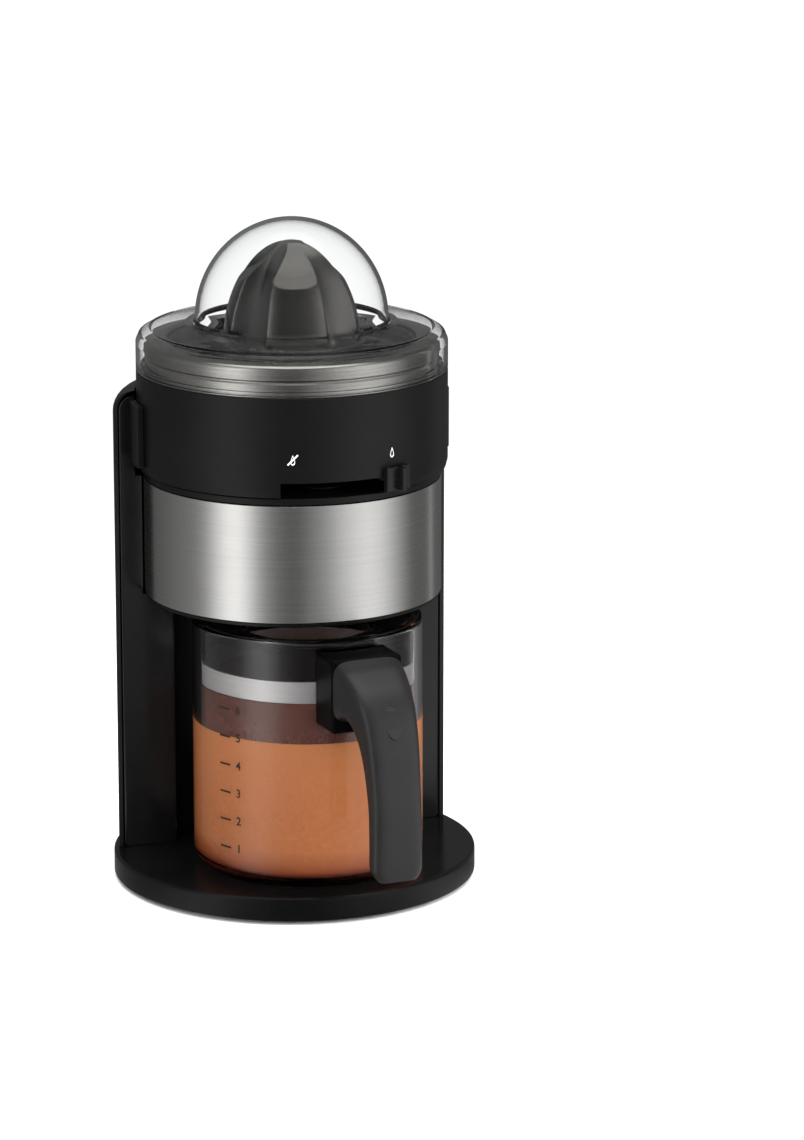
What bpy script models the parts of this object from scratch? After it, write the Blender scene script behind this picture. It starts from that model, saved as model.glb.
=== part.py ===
"""Citrus press juicer with a drip-stop reservoir and a handled jug.

Everything is in millimetres here and is turned into metres by MM. The press axis is the
vertical line through the cone. The front of the machine, where the jug slides out, is -Y.
"""

import math

import bmesh
import bpy
from mathutils import Matrix, Vector

MM = 0.001

# ---- driving sizes ----------------------------------------------------------------------
TOTAL_HEIGHT = 350.0
BASE_R = 95.5
BASE_TOP = 14.3
COLUMN_TOP = 260.0
WING_FRONT = 21.0
RECESS_R = 62.5
HOUSING_LOW = 152.4
BAND_LOW = 154.7
BAND_HIGH = 216.0
BAND_R = 77.4
RING_LOW = 220.5
RING_HIGH = 272.1
RING_R = 80.7
JUG_R = 60.2
JUG_FORWARD = 25.5
JUG_HIGH = 145.5
HANDLE_ANGLE = 5.4
HANDLE_REACH = 122.0
CONE_R = 36.5
CONE_TALL = 51.6
PRESS_TRAVEL = 2.5
GATE_OPEN_ANGLE = 23.5
GATE_SWING = 38.0
OUTLET_Y = -48.0
OUTLET_R = 7.0

# ---- walls and clearances ---------------------------------------------------------------
GAP = 0.3
SLIDE_GAP = 0.5
WALL = 2.5
THIN_WALL = 2.0
SHEET = 0.9
FOOT_GAP = 1.8
SIDES = 32
SMALL_SIDES = 16

# ---- sizes that follow from them --------------------------------------------------------
COVER_LOW = RING_HIGH + GAP
JUG_AXIS_Y = -JUG_FORWARD
COVER_SHELL_IN = BASE_R - WALL
RING_IN = RING_R - WALL
HOUSING_R = BAND_R - SHEET - SLIDE_GAP
HOUSING_IN = HOUSING_R - WALL
DECK_LOW = BAND_HIGH + GAP
DECK_HIGH = RING_LOW - 0.7
JUG_LOW = BASE_TOP + GAP
DOME_R = 50.0
DOME_TALL = 52.5
DOME_CENTRE = TOTAL_HEIGHT - DOME_TALL
RIM_Z = RING_HIGH + 21.6
RIM_R = RING_R - 6.9
CONE_LOW = RING_HIGH + 14.5
BASKET_FLOOR = RING_HIGH + 7.0
SPINDLE_FLATS = 9.0
SPINDLE_R = SPINDLE_FLATS / 2 / math.cos(math.pi / 6)
BOSS_IN = SPINDLE_R + 1.6
BOSS_R = BOSS_IN + 3.0
SKIRT_IN = BOSS_R + 1.7
SKIRT_R = SKIRT_IN + THIN_WALL
FLOOR_LOW = RING_LOW + 7.6
FLOOR_HIGH = FLOOR_LOW + WALL
GATE_HIGH = FLOOR_LOW - 0.4
GATE_LOW = GATE_HIGH - 2.4
SLOT_HIGH = FLOOR_LOW + 0.3
CHIMNEY_HIGH = RING_HIGH + 3.0
PLATE_HIGH = DECK_LOW - 25.3
PLATE_LOW = PLATE_HIGH - 2.5
GEAR_LOW = PLATE_HIGH + 1.5
CORD_GLAND_REACH = 3.0
FRONT_REACH = JUG_FORWARD + HANDLE_REACH + 0.7
AXIS_Y = (FRONT_REACH - BASE_R - CORD_GLAND_REACH) / 2


# ---- scene and materials ----------------------------------------------------------------
def clear_scene():
    for obj in list(bpy.data.objects):
        bpy.data.objects.remove(obj, do_unlink=True)


def principled(name, colour, roughness, metallic=0.0, transmission=0.0):
    """One Principled material, or the one already made under this name."""
    if name in bpy.data.materials:
        return bpy.data.materials[name]
    made = bpy.data.materials.new(name)
    made.use_nodes = True
    shader = made.node_tree.nodes["Principled BSDF"]
    shader.inputs["Base Color"].default_value = (*colour, 1.0)
    shader.inputs["Roughness"].default_value = roughness
    shader.inputs["Metallic"].default_value = metallic
    shader.inputs["Transmission Weight"].default_value = transmission
    made.diffuse_color = (*colour, 1.0)
    return made


def satin_black():
    return principled("satin_black", (0.022, 0.021, 0.021), 0.42)


def gloss_black():
    return principled("gloss_black", (0.010, 0.010, 0.012), 0.12)


def charcoal():
    return principled("charcoal", (0.045, 0.045, 0.047), 0.28)


def brushed_steel():
    return principled("brushed_steel", (0.62, 0.61, 0.59), 0.30, metallic=1.0)


def bright_steel():
    return principled("bright_steel", (0.70, 0.70, 0.70), 0.18, metallic=1.0)


def clear_plastic():
    return principled("clear_plastic", (0.95, 0.96, 0.96), 0.04, transmission=1.0)


def smoky_plastic():
    return principled("smoky_plastic", (0.18, 0.17, 0.18), 0.10, transmission=0.8)


def grey_rubber():
    return principled("grey_rubber", (0.06, 0.06, 0.06), 0.85)


def white_nylon():
    return principled("white_nylon", (0.72, 0.71, 0.67), 0.45)


def switch_red():
    return principled("switch_red", (0.42, 0.05, 0.03), 0.40)


# ---- shape tools ------------------------------------------------------------------------
def turned(profile, sides=SIDES):
    """The closed (radius, height) profile turned once about Z; an edge on the axis is left out."""
    bm = bmesh.new()
    ring = [bm.verts.new((r * MM, 0.0, z * MM)) for r, z in profile]
    pairs = zip(ring, ring[1:] + ring[:1])
    edges = [bm.edges.new(pair) for pair in pairs if max(pair[0].co.x, pair[1].co.x) > 0]
    bmesh.ops.spin(
        bm, geom=ring + edges, axis=(0, 0, 1), cent=(0, 0, 0), angle=math.tau, steps=sides, use_merge=True
    )
    bmesh.ops.remove_doubles(bm, verts=bm.verts, dist=1e-6)
    bmesh.ops.recalc_face_normals(bm, faces=bm.faces)
    return bm


def prism(outline, low, high):
    """The closed (x, y) outline drawn up from one height to another."""
    bm = bmesh.new()
    face = bm.faces.new([bm.verts.new((x * MM, y * MM, low * MM)) for x, y in outline])
    grown = bmesh.ops.extrude_face_region(bm, geom=[face])["geom"]
    top = [item for item in grown if isinstance(item, bmesh.types.BMVert)]
    bmesh.ops.translate(bm, verts=top, vec=(0, 0, (high - low) * MM))
    bmesh.ops.recalc_face_normals(bm, faces=bm.faces)
    return bm


def block(x_range, y_range, z_range):
    (x0, x1), (y0, y1), (z0, z1) = x_range, y_range, z_range
    return prism([(x0, y0), (x1, y0), (x1, y1), (x0, y1)], z0, z1)


def rod(radius, low, high, sides=SMALL_SIDES, centre=(0.0, 0.0)):
    """A plain cylinder stood at a place in plan."""
    return moved(turned([(0, low), (radius, low), (radius, high), (0, high)], sides), centre)


def tube(inner, outer, low, high, sides=SMALL_SIDES, centre=(0.0, 0.0)):
    profile = [(inner, low), (outer, low), (outer, high), (inner, high)]
    return moved(turned(profile, sides), centre)


def moved(bm, centre, height=0.0):
    bmesh.ops.translate(bm, verts=bm.verts, vec=(centre[0] * MM, centre[1] * MM, height * MM))
    return bm


def clipped(bm, y_front):
    """What lies behind the vertical plane y = y_front, with its cut faces closed."""
    geom = bm.verts[:] + bm.edges[:] + bm.faces[:]
    place = (0, y_front * MM, 0)
    cut = bmesh.ops.bisect_plane(bm, geom=geom, plane_co=place, plane_no=(0, -1, 0), clear_outer=True)
    edges = [item for item in cut["geom_cut"] if isinstance(item, bmesh.types.BMEdge)]
    bmesh.ops.edgenet_fill(bm, edges=edges)
    bmesh.ops.recalc_face_normals(bm, faces=bm.faces)
    return bm


def arc(radius, start, end, count, centre=(0.0, 0.0)):
    """Points on an arc, angles in degrees, both ends included."""
    turns = [math.radians(start + (end - start) * i / count) for i in range(count + 1)]
    return [(centre[0] + radius * math.cos(t), centre[1] + radius * math.sin(t)) for t in turns]


def empty(name, location, parent=None):
    frame = bpy.data.objects.new(name, None)
    frame.location = Vector(location) * MM
    frame.parent = parent
    bpy.context.scene.collection.objects.link(frame)
    return frame


def node(name, bm, made, frame, smooth=35.0):
    """Turns a bmesh into the named object under its frame."""
    mesh = bpy.data.meshes.new(name)
    bm.to_mesh(mesh)
    bm.free()
    mesh.materials.append(made)
    mesh.shade_smooth()
    mesh.set_sharp_from_angle(angle=math.radians(smooth))
    obj = bpy.data.objects.new(name, mesh)
    obj.parent = frame
    bpy.context.scene.collection.objects.link(obj)
    return obj


def combine(obj, bm, operation):
    """Cuts a shape from an object, or joins it on, with an exact Boolean."""
    mesh = bpy.data.meshes.new(obj.name + "_tool")
    bm.to_mesh(mesh)
    bm.free()
    tool = bpy.data.objects.new(mesh.name, mesh)
    tool.parent = obj.parent
    tool.hide_render = True
    tool.display_type = "WIRE"
    bpy.context.scene.collection.objects.link(tool)
    step = obj.modifiers.new(operation.lower(), "BOOLEAN")
    step.operation = operation
    step.solver = "EXACT"
    step.object = tool
    return obj


def cut(obj, *shapes):
    for shape in shapes:
        combine(obj, shape, "DIFFERENCE")
    return obj


def join(obj, *shapes):
    for shape in shapes:
        combine(obj, shape, "UNION")
    return obj


def rounded(obj, width, segments=2):
    bevel = obj.modifiers.new("rounded", "BEVEL")
    bevel.width = width * MM
    bevel.segments = segments
    bevel.limit_method = "ANGLE"
    bevel.angle_limit = math.radians(40)
    return obj


# ---- base -------------------------------------------------------------------------------
BASE_FLOOR_LOW = FOOT_GAP + GAP
BASE_FLOOR_HIGH = BASE_FLOOR_LOW + THIN_WALL
FOOT_PLACES = [(48.0, 52.0), (-48.0, 52.0), (-48.0, -52.0), (48.0, -52.0)]
FOOT_STEM_R = 3.0
BASE_SCREW_PLACES = arc(82.0, 90, 330, 2)
SCREW_R = 1.6
SCREW_HEAD_R = 3.2


def make_base(frame):
    """Hollow black disc with screw posts, closed below by a plate on rubber feet."""
    edge = 1.2
    inner = BASE_R - WALL
    profile = [(0, BASE_TOP), (BASE_R - edge, BASE_TOP), (BASE_R, BASE_TOP - edge)]
    profile += [(BASE_R, FOOT_GAP + edge), (BASE_R - edge, FOOT_GAP), (inner, FOOT_GAP)]
    profile += [(inner, BASE_TOP - WALL), (0, BASE_TOP - WALL)]
    shell = node("base_shell", turned(profile), gloss_black(), frame)
    post_low = BASE_FLOOR_HIGH + GAP
    for place in BASE_SCREW_PLACES:
        join(shell, tube(SCREW_R, 4.2, post_low, BASE_TOP - WALL + 1, 12, place))
    disc = rod(inner - SLIDE_GAP, BASE_FLOOR_LOW, BASE_FLOOR_HIGH, SIDES)
    plate = node("base_plate", disc, satin_black(), frame)
    for place in BASE_SCREW_PLACES:
        cut(plate, rod(SCREW_R + GAP, BASE_FLOOR_LOW - 1, BASE_FLOOR_HIGH + 1, 12, place))
    for place in FOOT_PLACES:
        cut(plate, rod(FOOT_STEM_R + GAP, BASE_FLOOR_LOW - 1, BASE_FLOOR_HIGH + 1, 12, place))
    for number, place in enumerate(BASE_SCREW_PLACES, 1):
        screw("base_screw_%d" % number, place, BASE_FLOOR_LOW - GAP, frame)
    for number, place in enumerate(FOOT_PLACES, 1):
        foot("foot_%d" % number, place, frame)


def screw(name, place, seat, frame, length=7.0):
    """Pan-head screw driven upwards, its head just below the seat height."""
    head = 1.4
    shank = SCREW_R - 0.1
    profile = [(0, seat - head), (SCREW_HEAD_R - 0.6, seat - head), (SCREW_HEAD_R, seat - 0.5)]
    profile += [(SCREW_HEAD_R, seat), (shank, seat), (shank, seat + length), (0, seat + length)]
    return node(name, moved(turned(profile, 12), place), bright_steel(), frame)


def foot(name, place, frame):
    profile = [(0, 0), (9.0, 0), (9.8, 0.8), (9.8, FOOT_GAP), (FOOT_STEM_R, FOOT_GAP)]
    profile += [(FOOT_STEM_R, BASE_FLOOR_HIGH + 1.5), (0, BASE_FLOOR_HIGH + 1.5)]
    return node(name, moved(turned(profile, 20), place), grey_rubber(), frame)


# ---- column -----------------------------------------------------------------------------
COLUMN_LOW = BASE_TOP + GAP
PANEL_OUT = COVER_SHELL_IN - 0.4
UPPER_STEP = BAND_HIGH - 0.8
SHELF = HOUSING_LOW - 1.2
BAND_POCKET = BAND_R + 0.8
RING_POCKET = RING_R + 0.9
VENT_HEIGHTS = [166.0 + 7.0 * i for i in range(6)]
GLAND_HEIGHT = 27.0
GLAND_R = 5.0


def make_column(frame):
    """U-shaped upright: a concave front panel with flat wings, and the curved shell behind it."""
    low, high = COLUMN_LOW, COLUMN_TOP - WALL - GAP
    inner = [(RECESS_R, low), (RECESS_R, SHELF), (BAND_POCKET, SHELF), (BAND_POCKET, UPPER_STEP)]
    inner += [(RING_POCKET, UPPER_STEP), (RING_POCKET, high)]
    top_round = 10.0
    middle = (BASE_R - top_round, COLUMN_TOP - top_round)
    outer = arc(PANEL_OUT - middle[0], 90, 0, 3, middle) + [(PANEL_OUT, low)]
    front = clipped(turned(inner[::-1] + outer[::-1]), WING_FRONT)
    panel = node("column_front", front, gloss_black(), frame)
    hollow = [(radius + THIN_WALL, height) for radius, height in inner]
    hollow[0] = (hollow[0][0], low + WALL)
    hollow[-1] = (hollow[-1][0], high - THIN_WALL)
    hollow[1] = (hollow[1][0], SHELF + THIN_WALL)
    hollow[2] = (hollow[2][0], SHELF + THIN_WALL)
    hollow += [(BASE_R + 5, high - THIN_WALL), (BASE_R + 5, low + WALL)]
    cut(panel, clipped(turned(hollow), WING_FRONT + WALL))

    corner = arc(top_round, 0, 90, 3, middle)
    profile = [(BASE_R, low)] + corner + [(RING_POCKET, COLUMN_TOP), (RING_POCKET, COLUMN_TOP - WALL)]
    inside = arc(top_round - WALL, 90, 0, 3, middle)
    profile += inside + [(COVER_SHELL_IN, low)]
    shell = node("rear_cover", clipped(turned(profile), WING_FRONT + 0.2), satin_black(), frame)
    for height in VENT_HEIGHTS:
        cut(shell, block((-20, 20), (BASE_R - 8, BASE_R + 5), (height, height + 2.6)))
    gland_hole = along_y(tube_profile(GLAND_R + GAP, BASE_R - 9, BASE_R + 5), GLAND_HEIGHT)
    cut(shell, gland_hole)
    for number, height in enumerate((48.0, 240.0), 1):
        hole = along_y(tube_profile(SCREW_R + GAP, BASE_R - 9, BASE_R + 5), height)
        cut(shell, hole)
        head = [(0, BASE_R + 1.2), (SCREW_HEAD_R, BASE_R + 0.9), (SCREW_HEAD_R, BASE_R + GAP)]
        head += [(SCREW_R - 0.1, BASE_R + GAP), (SCREW_R - 0.1, BASE_R - 7), (0, BASE_R - 7)]
        node("rear_cover_screw_%d" % number, along_y(head, height), bright_steel(), frame)


def tube_profile(radius, start, end):
    return [(0, end), (radius, end), (radius, start), (0, start)]


def along_y(profile, height, sides=16):
    """A turned piece whose axis runs out to the rear, at a height."""
    bm = turned(profile, sides)
    bmesh.ops.rotate(bm, verts=bm.verts, matrix=Matrix.Rotation(-math.pi / 2, 3, "X"))
    return moved(bm, (0, 0), height)


def make_cord_gland(frame):
    """Bush in the rear shell where the power cord enters."""
    flange = 7.5
    end = BASE_R + CORD_GLAND_REACH
    profile = [(3.2, end), (flange - 1, end), (flange, end - 1), (flange, BASE_R + GAP)]
    profile += [(GLAND_R, BASE_R + GAP), (GLAND_R, BASE_R - 7), (3.2, BASE_R - 7)]
    node("cord_gland", along_y(profile, GLAND_HEIGHT), grey_rubber(), frame)


# ---- motor housing ----------------------------------------------------------------------
FLOOR_TOP = HOUSING_LOW + THIN_WALL
FLOOR_R = HOUSING_IN - SLIDE_GAP
MOTOR_PLACE = (0.0, 40.0)
POST_PLACES = [(30.0, -14.0), (-30.0, -14.0), (-30.0, 36.0)]
DUCT_IN = OUTLET_R + 0.4
DUCT_R = DUCT_IN + THIN_WALL
DUCT_LOW = JUG_HIGH + 2.5
MOTOR_R = 19.0
SPRING_SEAT = FLOOR_TOP + 4.0
BOSS_HIGH = FLOOR_HIGH + 34.0
THRUST_STEM_R = 3.0
THRUST_LOW = PLATE_LOW - 6.0


def make_housing(frame):
    """Black drum with its steel sleeve, underside cover, deck and juice duct."""
    lip = BAND_R - 0.3
    profile = [(HOUSING_R, BAND_HIGH - GAP), (HOUSING_R, BAND_LOW - GAP), (lip, BAND_LOW - GAP)]
    profile += [(lip - 0.6, HOUSING_LOW), (HOUSING_IN, HOUSING_LOW), (HOUSING_IN, BAND_HIGH - GAP)]
    node("housing_body", turned(profile), satin_black(), frame)
    sleeve = tube(BAND_R - SHEET, BAND_R, BAND_LOW, BAND_HIGH - GAP, SIDES)
    node("motor_band", sleeve, brushed_steel(), frame)

    floor = node("housing_floor", rod(FLOOR_R, HOUSING_LOW, FLOOR_TOP, SIDES), satin_black(), frame)
    cut(floor, rod(DUCT_R + GAP, HOUSING_LOW - 1, FLOOR_TOP + 1, SMALL_SIDES, (0, OUTLET_Y)))
    for place in POST_PLACES:
        join(floor, rod(4.0, FLOOR_TOP - 1, PLATE_LOW - GAP, 12, place))
    join(floor, tube(THRUST_STEM_R + 0.4, THRUST_STEM_R + 1.6, FLOOR_TOP - 1, SPRING_SEAT + 6, 16))

    edge = 0.8
    deck = [(BOSS_R, DECK_HIGH), (BAND_R - edge, DECK_HIGH), (BAND_R, DECK_HIGH - edge)]
    deck += [(BAND_R, DECK_LOW), (BOSS_IN, DECK_LOW), (BOSS_IN, BOSS_HIGH), (BOSS_R, BOSS_HIGH)]
    deck = node("upper_deck", turned(deck), satin_black(), frame)
    cut(deck, rod(DUCT_R + GAP, DECK_LOW - 1, DECK_HIGH + 1, SMALL_SIDES, (0, OUTLET_Y)))

    mouth = DUCT_R + 3.0
    duct = [(DUCT_IN, DUCT_LOW), (DUCT_R, DUCT_LOW), (DUCT_R, DECK_HIGH + GAP), (mouth, DECK_HIGH + GAP)]
    duct += [(mouth, DECK_HIGH + 1.5), (DUCT_IN, DECK_HIGH + 1.2)]
    node("juice_duct", moved(turned(duct, SMALL_SIDES), (0, OUTLET_Y)), satin_black(), frame)


def make_spindle_bearing(frame):
    """Bush in the top of the boss and the lip seal over it."""
    bush_high = BOSS_HIGH - 3.0
    bush = tube(SPINDLE_R + 0.15, BOSS_IN - 0.15, bush_high - 16, bush_high, SMALL_SIDES)
    node("spindle_bush", bush, white_nylon(), frame)
    seal = tube(SPINDLE_R + 0.2, BOSS_IN - 0.2, bush_high + GAP, BOSS_HIGH + 0.8, SMALL_SIDES)
    node("spindle_seal", seal, grey_rubber(), frame)


# ---- motor and gears --------------------------------------------------------------------
PRESSURE_ANGLE = math.radians(25)
BACKLASH = 0.24
MOTOR_TEETH, WHEEL_TEETH, WHEEL_MODULE = 12, 36, 1.0
SMALL_TEETH, OUTPUT_TEETH, OUTPUT_MODULE = 12, 40, 1.25
FIRST_CENTRES = WHEEL_MODULE * (MOTOR_TEETH + WHEEL_TEETH) / 2
SECOND_CENTRES = OUTPUT_MODULE * (SMALL_TEETH + OUTPUT_TEETH) / 2
WHEEL_THICK = 5.0
OUTPUT_LOW = GEAR_LOW + WHEEL_THICK + 1.8
OUTPUT_HIGH = OUTPUT_LOW + 6.0
AXLE_R = 2.5
SHAFT_R = 2.0


def idler_place():
    """Where the compound gear stands so that it meshes with both its neighbours."""
    span = math.hypot(*MOTOR_PLACE)
    along = (SECOND_CENTRES**2 - FIRST_CENTRES**2 + span**2) / (2 * span)
    side = math.sqrt(SECOND_CENTRES**2 - along**2)
    unit = (MOTOR_PLACE[0] / span, MOTOR_PLACE[1] / span)
    return (unit[0] * along + unit[1] * side, unit[1] * along - unit[0] * side)


def involute(angle):
    return math.tan(angle) - angle


def gear_outline(teeth, module, aim, gap_at_aim):
    """Involute outline with a tooth, or a gap, facing the direction aim."""
    pitch = module * teeth / 2
    base = pitch * math.cos(PRESSURE_ANGLE)
    root, tip = pitch - 1.25 * module, pitch + 0.9 * module
    radii = [root, pitch, tip]
    half_pitch = math.pi / (2 * teeth) - BACKLASH / (2 * pitch)
    halves = []
    for radius in radii:
        lean = involute(math.acos(min(1.0, base / radius)))
        halves.append(half_pitch + involute(PRESSURE_ANGLE) - lean)
    points = []
    for tooth in range(teeth):
        middle = aim + math.tau * (tooth + 0.5 * gap_at_aim) / teeth
        flank = list(zip(radii, halves))
        for radius, half in flank:
            points.append((radius * math.cos(middle - half), radius * math.sin(middle - half)))
        for radius, half in reversed(flank):
            points.append((radius * math.cos(middle + half), radius * math.sin(middle + half)))
    return points


def hexagon(flats):
    return arc(flats / 2 / math.cos(math.pi / 6), 0, 300, 5)


def make_motor(stand, rotor_frame):
    """Motor can and end plate, with the rotor and its pinion inside."""
    low, high = FLOOR_TOP + 2.0, PLATE_LOW - 3.0
    can = [(0, low), (MOTOR_R, low), (MOTOR_R, high), (MOTOR_R - 1.5, high), (MOTOR_R - 1.5, low + 1.5)]
    can += [(3.0, low + 1.5), (3.0, low + 0.8), (0, low + 0.8)]
    node("motor_can", moved(turned(can, 32), MOTOR_PLACE), bright_steel(), stand)
    plate = tube(SHAFT_R + 0.6, MOTOR_R - 0.2, high + GAP, PLATE_LOW - GAP, 32, MOTOR_PLACE)
    node("motor_end_plate", plate, white_nylon(), stand)
    drum = MOTOR_R - 3.5
    shaft_low = low + 1.2
    rotor = [(0, shaft_low), (SHAFT_R, shaft_low), (SHAFT_R, low + 4), (drum, low + 4), (drum, high - 3)]
    rotor += [(SHAFT_R, high - 3), (SHAFT_R, GEAR_LOW + 9.5), (0, GEAR_LOW + 9.5)]
    node("motor_rotor", turned(rotor, 24), bright_steel(), rotor_frame)
    aim = math.atan2(idler_place()[1] - MOTOR_PLACE[1], idler_place()[0] - MOTOR_PLACE[0])
    outline = gear_outline(MOTOR_TEETH, WHEEL_MODULE, aim, False)
    pinion = node("motor_pinion", prism(outline, GEAR_LOW, GEAR_LOW + 8), white_nylon(), rotor_frame)
    cut(pinion, rod(SHAFT_R + 0.1, GEAR_LOW - 1, GEAR_LOW + 9, SMALL_SIDES))


def make_gears(stand, idler_frame, press_axis):
    """Compound gear on its pin, the output gear and the plate that carries them."""
    place = idler_place()
    to_motor = math.atan2(MOTOR_PLACE[1] - place[1], MOTOR_PLACE[0] - place[0])
    to_spindle = math.atan2(-place[1], -place[0])
    wheel = gear_outline(WHEEL_TEETH, WHEEL_MODULE, to_motor, True)
    small = gear_outline(SMALL_TEETH, OUTPUT_MODULE, to_spindle, False)
    wheel = prism(wheel, GEAR_LOW, GEAR_LOW + WHEEL_THICK)
    compound = node("compound_gear", wheel, white_nylon(), idler_frame)
    join(compound, prism(small, GEAR_LOW + 1, OUTPUT_HIGH + 0.5))
    cut(compound, rod(AXLE_R + 0.1, GEAR_LOW - 1, OUTPUT_HIGH + 2, SMALL_SIDES))

    output = gear_outline(OUTPUT_TEETH, OUTPUT_MODULE, to_spindle + math.pi, True)
    gear = node("output_gear", prism(output, OUTPUT_LOW, OUTPUT_HIGH), white_nylon(), press_axis)
    join(gear, rod(10.0, PLATE_HIGH + GAP, OUTPUT_HIGH + 3, SMALL_SIDES))
    cut(gear, prism(hexagon(SPINDLE_FLATS + 0.5), PLATE_HIGH - 1, OUTPUT_HIGH + 5))

    plate = [(-36, -20), (36, -20), (42, -14), (42, 40), (22, 62), (-22, 62), (-42, 40), (-42, -14)]
    plate = node("gearbox_plate", prism(plate, PLATE_LOW, PLATE_HIGH), brushed_steel(), stand)
    cut(plate, rod(SPINDLE_R + 0.5, PLATE_LOW - 1, PLATE_HIGH + 1, SMALL_SIDES))
    cut(plate, rod(SHAFT_R + 1.0, PLATE_LOW - 1, PLATE_HIGH + 1, 16, MOTOR_PLACE))
    cut(plate, rod(AXLE_R + 0.1, PLATE_LOW - 1, PLATE_HIGH + 1, SMALL_SIDES, place))
    head = [(0, PLATE_LOW - 2), (4, PLATE_LOW - 2), (4, PLATE_LOW - GAP), (AXLE_R, PLATE_LOW - GAP)]
    head += [(AXLE_R, OUTPUT_HIGH + 3), (0, OUTPUT_HIGH + 3)]
    node("gear_axle", moved(turned(head, SMALL_SIDES), place), bright_steel(), stand)


# ---- spindle, press pad and switch ------------------------------------------------------
SPINDLE_LOW = PLATE_LOW - 1.5
SPINDLE_HIGH = CONE_LOW + 32.0
SWITCH_PLACE = -17.0
SWITCH_HIGH = THRUST_LOW - 5.0


def make_drive(stand, carriage, press_axis, button_axis):
    """Hexagon spindle on a spring-loaded pad that works the motor's switch."""
    bar = prism(hexagon(SPINDLE_FLATS), SPINDLE_LOW, SPINDLE_HIGH)
    rounded(node("drive_spindle", bar, bright_steel(), press_axis), 0.8, 1)
    pad_high = SPINDLE_LOW - GAP
    stem_low = SPRING_SEAT
    pad = [(0, stem_low), (THRUST_STEM_R, stem_low), (THRUST_STEM_R, THRUST_LOW), (8, THRUST_LOW)]
    pad += [(8, pad_high), (0, pad_high)]
    pad = node("thrust_cap", turned(pad, SMALL_SIDES), white_nylon(), carriage)
    join(pad, block((SWITCH_PLACE - 3, -5), (-3, 3), (THRUST_LOW, THRUST_LOW + 3)))
    spring = coil(THRUST_STEM_R + 3.4, 0.7, SPRING_SEAT + 0.4, THRUST_LOW - GAP, 4)
    node("return_spring", spring, bright_steel(), carriage)

    travel = PRESS_TRAVEL + 1.0
    body = block((SWITCH_PLACE - 6, SWITCH_PLACE + 5), (-10, 10), (SWITCH_HIGH - 15, SWITCH_HIGH))
    body = node("micro_switch", body, satin_black(), stand)
    pocket = (SWITCH_HIGH - travel - 2, SWITCH_HIGH + 1)
    cut(body, block((SWITCH_PLACE - 2.4, SWITCH_PLACE + 2.4), (-2.4, 2.4), pocket))
    low = SWITCH_HIGH - 1.5
    button = block((SWITCH_PLACE - 1.8, SWITCH_PLACE + 1.8), (-1.8, 1.8), (low, THRUST_LOW - GAP))
    node("switch_button", button, switch_red(), button_axis)


def coil(radius, wire, low, high, turns, per_turn=10, sides=5):
    """Round wire wound about Z between two heights, with capped ends."""
    bm = bmesh.new()
    rings = []
    count = turns * per_turn
    for i in range(count + 1):
        angle = math.tau * i / per_turn
        height = low + wire + (high - low - 2 * wire) * i / count
        ring = []
        for k in range(sides):
            turn = math.tau * k / sides
            reach = radius + wire * math.cos(turn)
            place = (reach * math.cos(angle), reach * math.sin(angle), height + wire * math.sin(turn))
            ring.append(bm.verts.new(Vector(place) * MM))
        rings.append(ring)
    for first, second in zip(rings, rings[1:]):
        for k in range(sides):
            following = (k + 1) % sides
            bm.faces.new((first[k], first[following], second[following], second[k]))
    bm.faces.new(rings[0])
    bm.faces.new(rings[-1])
    bmesh.ops.recalc_face_normals(bm, faces=bm.faces)
    return bm


# ---- juice reservoir and drip stop ------------------------------------------------------
GATE_HUB_IN = SKIRT_R + 0.5
GATE_HUB_R = GATE_HUB_IN + 5.5
SKIRT_LOW = RING_LOW + 1.6
SLOT_START, SLOT_END = -21.0, 29.0
LUG_R = RING_R + 3.8
LEDGE_HIGH = RING_HIGH - 13.0
LEDGE_LOW = LEDGE_HIGH - 1.6
LEDGE_IN = RING_IN - 4.0


def front_angle(degrees):
    """Plan angle of a direction that is this far round from the front towards +X."""
    return degrees - 90.0


def make_reservoir(frame):
    """Black ring with a bowl floor, a chimney for the spindle, an outlet and the lever slot."""
    edge = 1.0
    profile = [(RING_R, RING_HIGH - edge), (RING_R, RING_LOW + 5), (RING_R - edge, RING_LOW)]
    profile += [(RING_IN, RING_LOW), (RING_IN, FLOOR_LOW), (SKIRT_R, FLOOR_LOW), (SKIRT_R, SKIRT_LOW)]
    profile += [(SKIRT_IN, SKIRT_LOW), (SKIRT_IN, CHIMNEY_HIGH), (SKIRT_R, CHIMNEY_HIGH)]
    profile += [(SKIRT_R, FLOOR_HIGH), (RING_IN - 6, FLOOR_HIGH), (RING_IN, FLOOR_HIGH + 4)]
    profile += [(RING_IN, LEDGE_LOW - 2), (LEDGE_IN, LEDGE_LOW), (LEDGE_IN, LEDGE_HIGH)]
    profile += [(RING_IN, LEDGE_HIGH), (RING_IN, RING_HIGH), (RING_R - edge, RING_HIGH)]
    ring = node("reservoir", turned(profile), satin_black(), frame)
    cut(ring, rod(OUTLET_R, FLOOR_LOW - 1, FLOOR_HIGH + 1, SMALL_SIDES, (0, OUTLET_Y)))
    outer = arc(RING_R + 4, front_angle(SLOT_START), front_angle(SLOT_END), 8)
    inner = arc(RING_IN - 1, front_angle(SLOT_END), front_angle(SLOT_START), 8)
    cut(ring, prism(outer + inner, RING_LOW - 1, SLOT_HIGH))
    for side, sign in (("left", -1), ("right", 1)):
        start = front_angle(90 - 3) if sign > 0 else front_angle(-90 - 9)
        face = arc(LUG_R, start, start + 12, 2)
        back = arc(RING_R + GAP, start + 12, start, 2)
        lug = prism(face + back, RING_LOW + 4, RING_HIGH - 15)
        lug = node("reservoir_lug_" + side, lug, satin_black(), frame)
        rounded(lug, 1.1)


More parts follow.
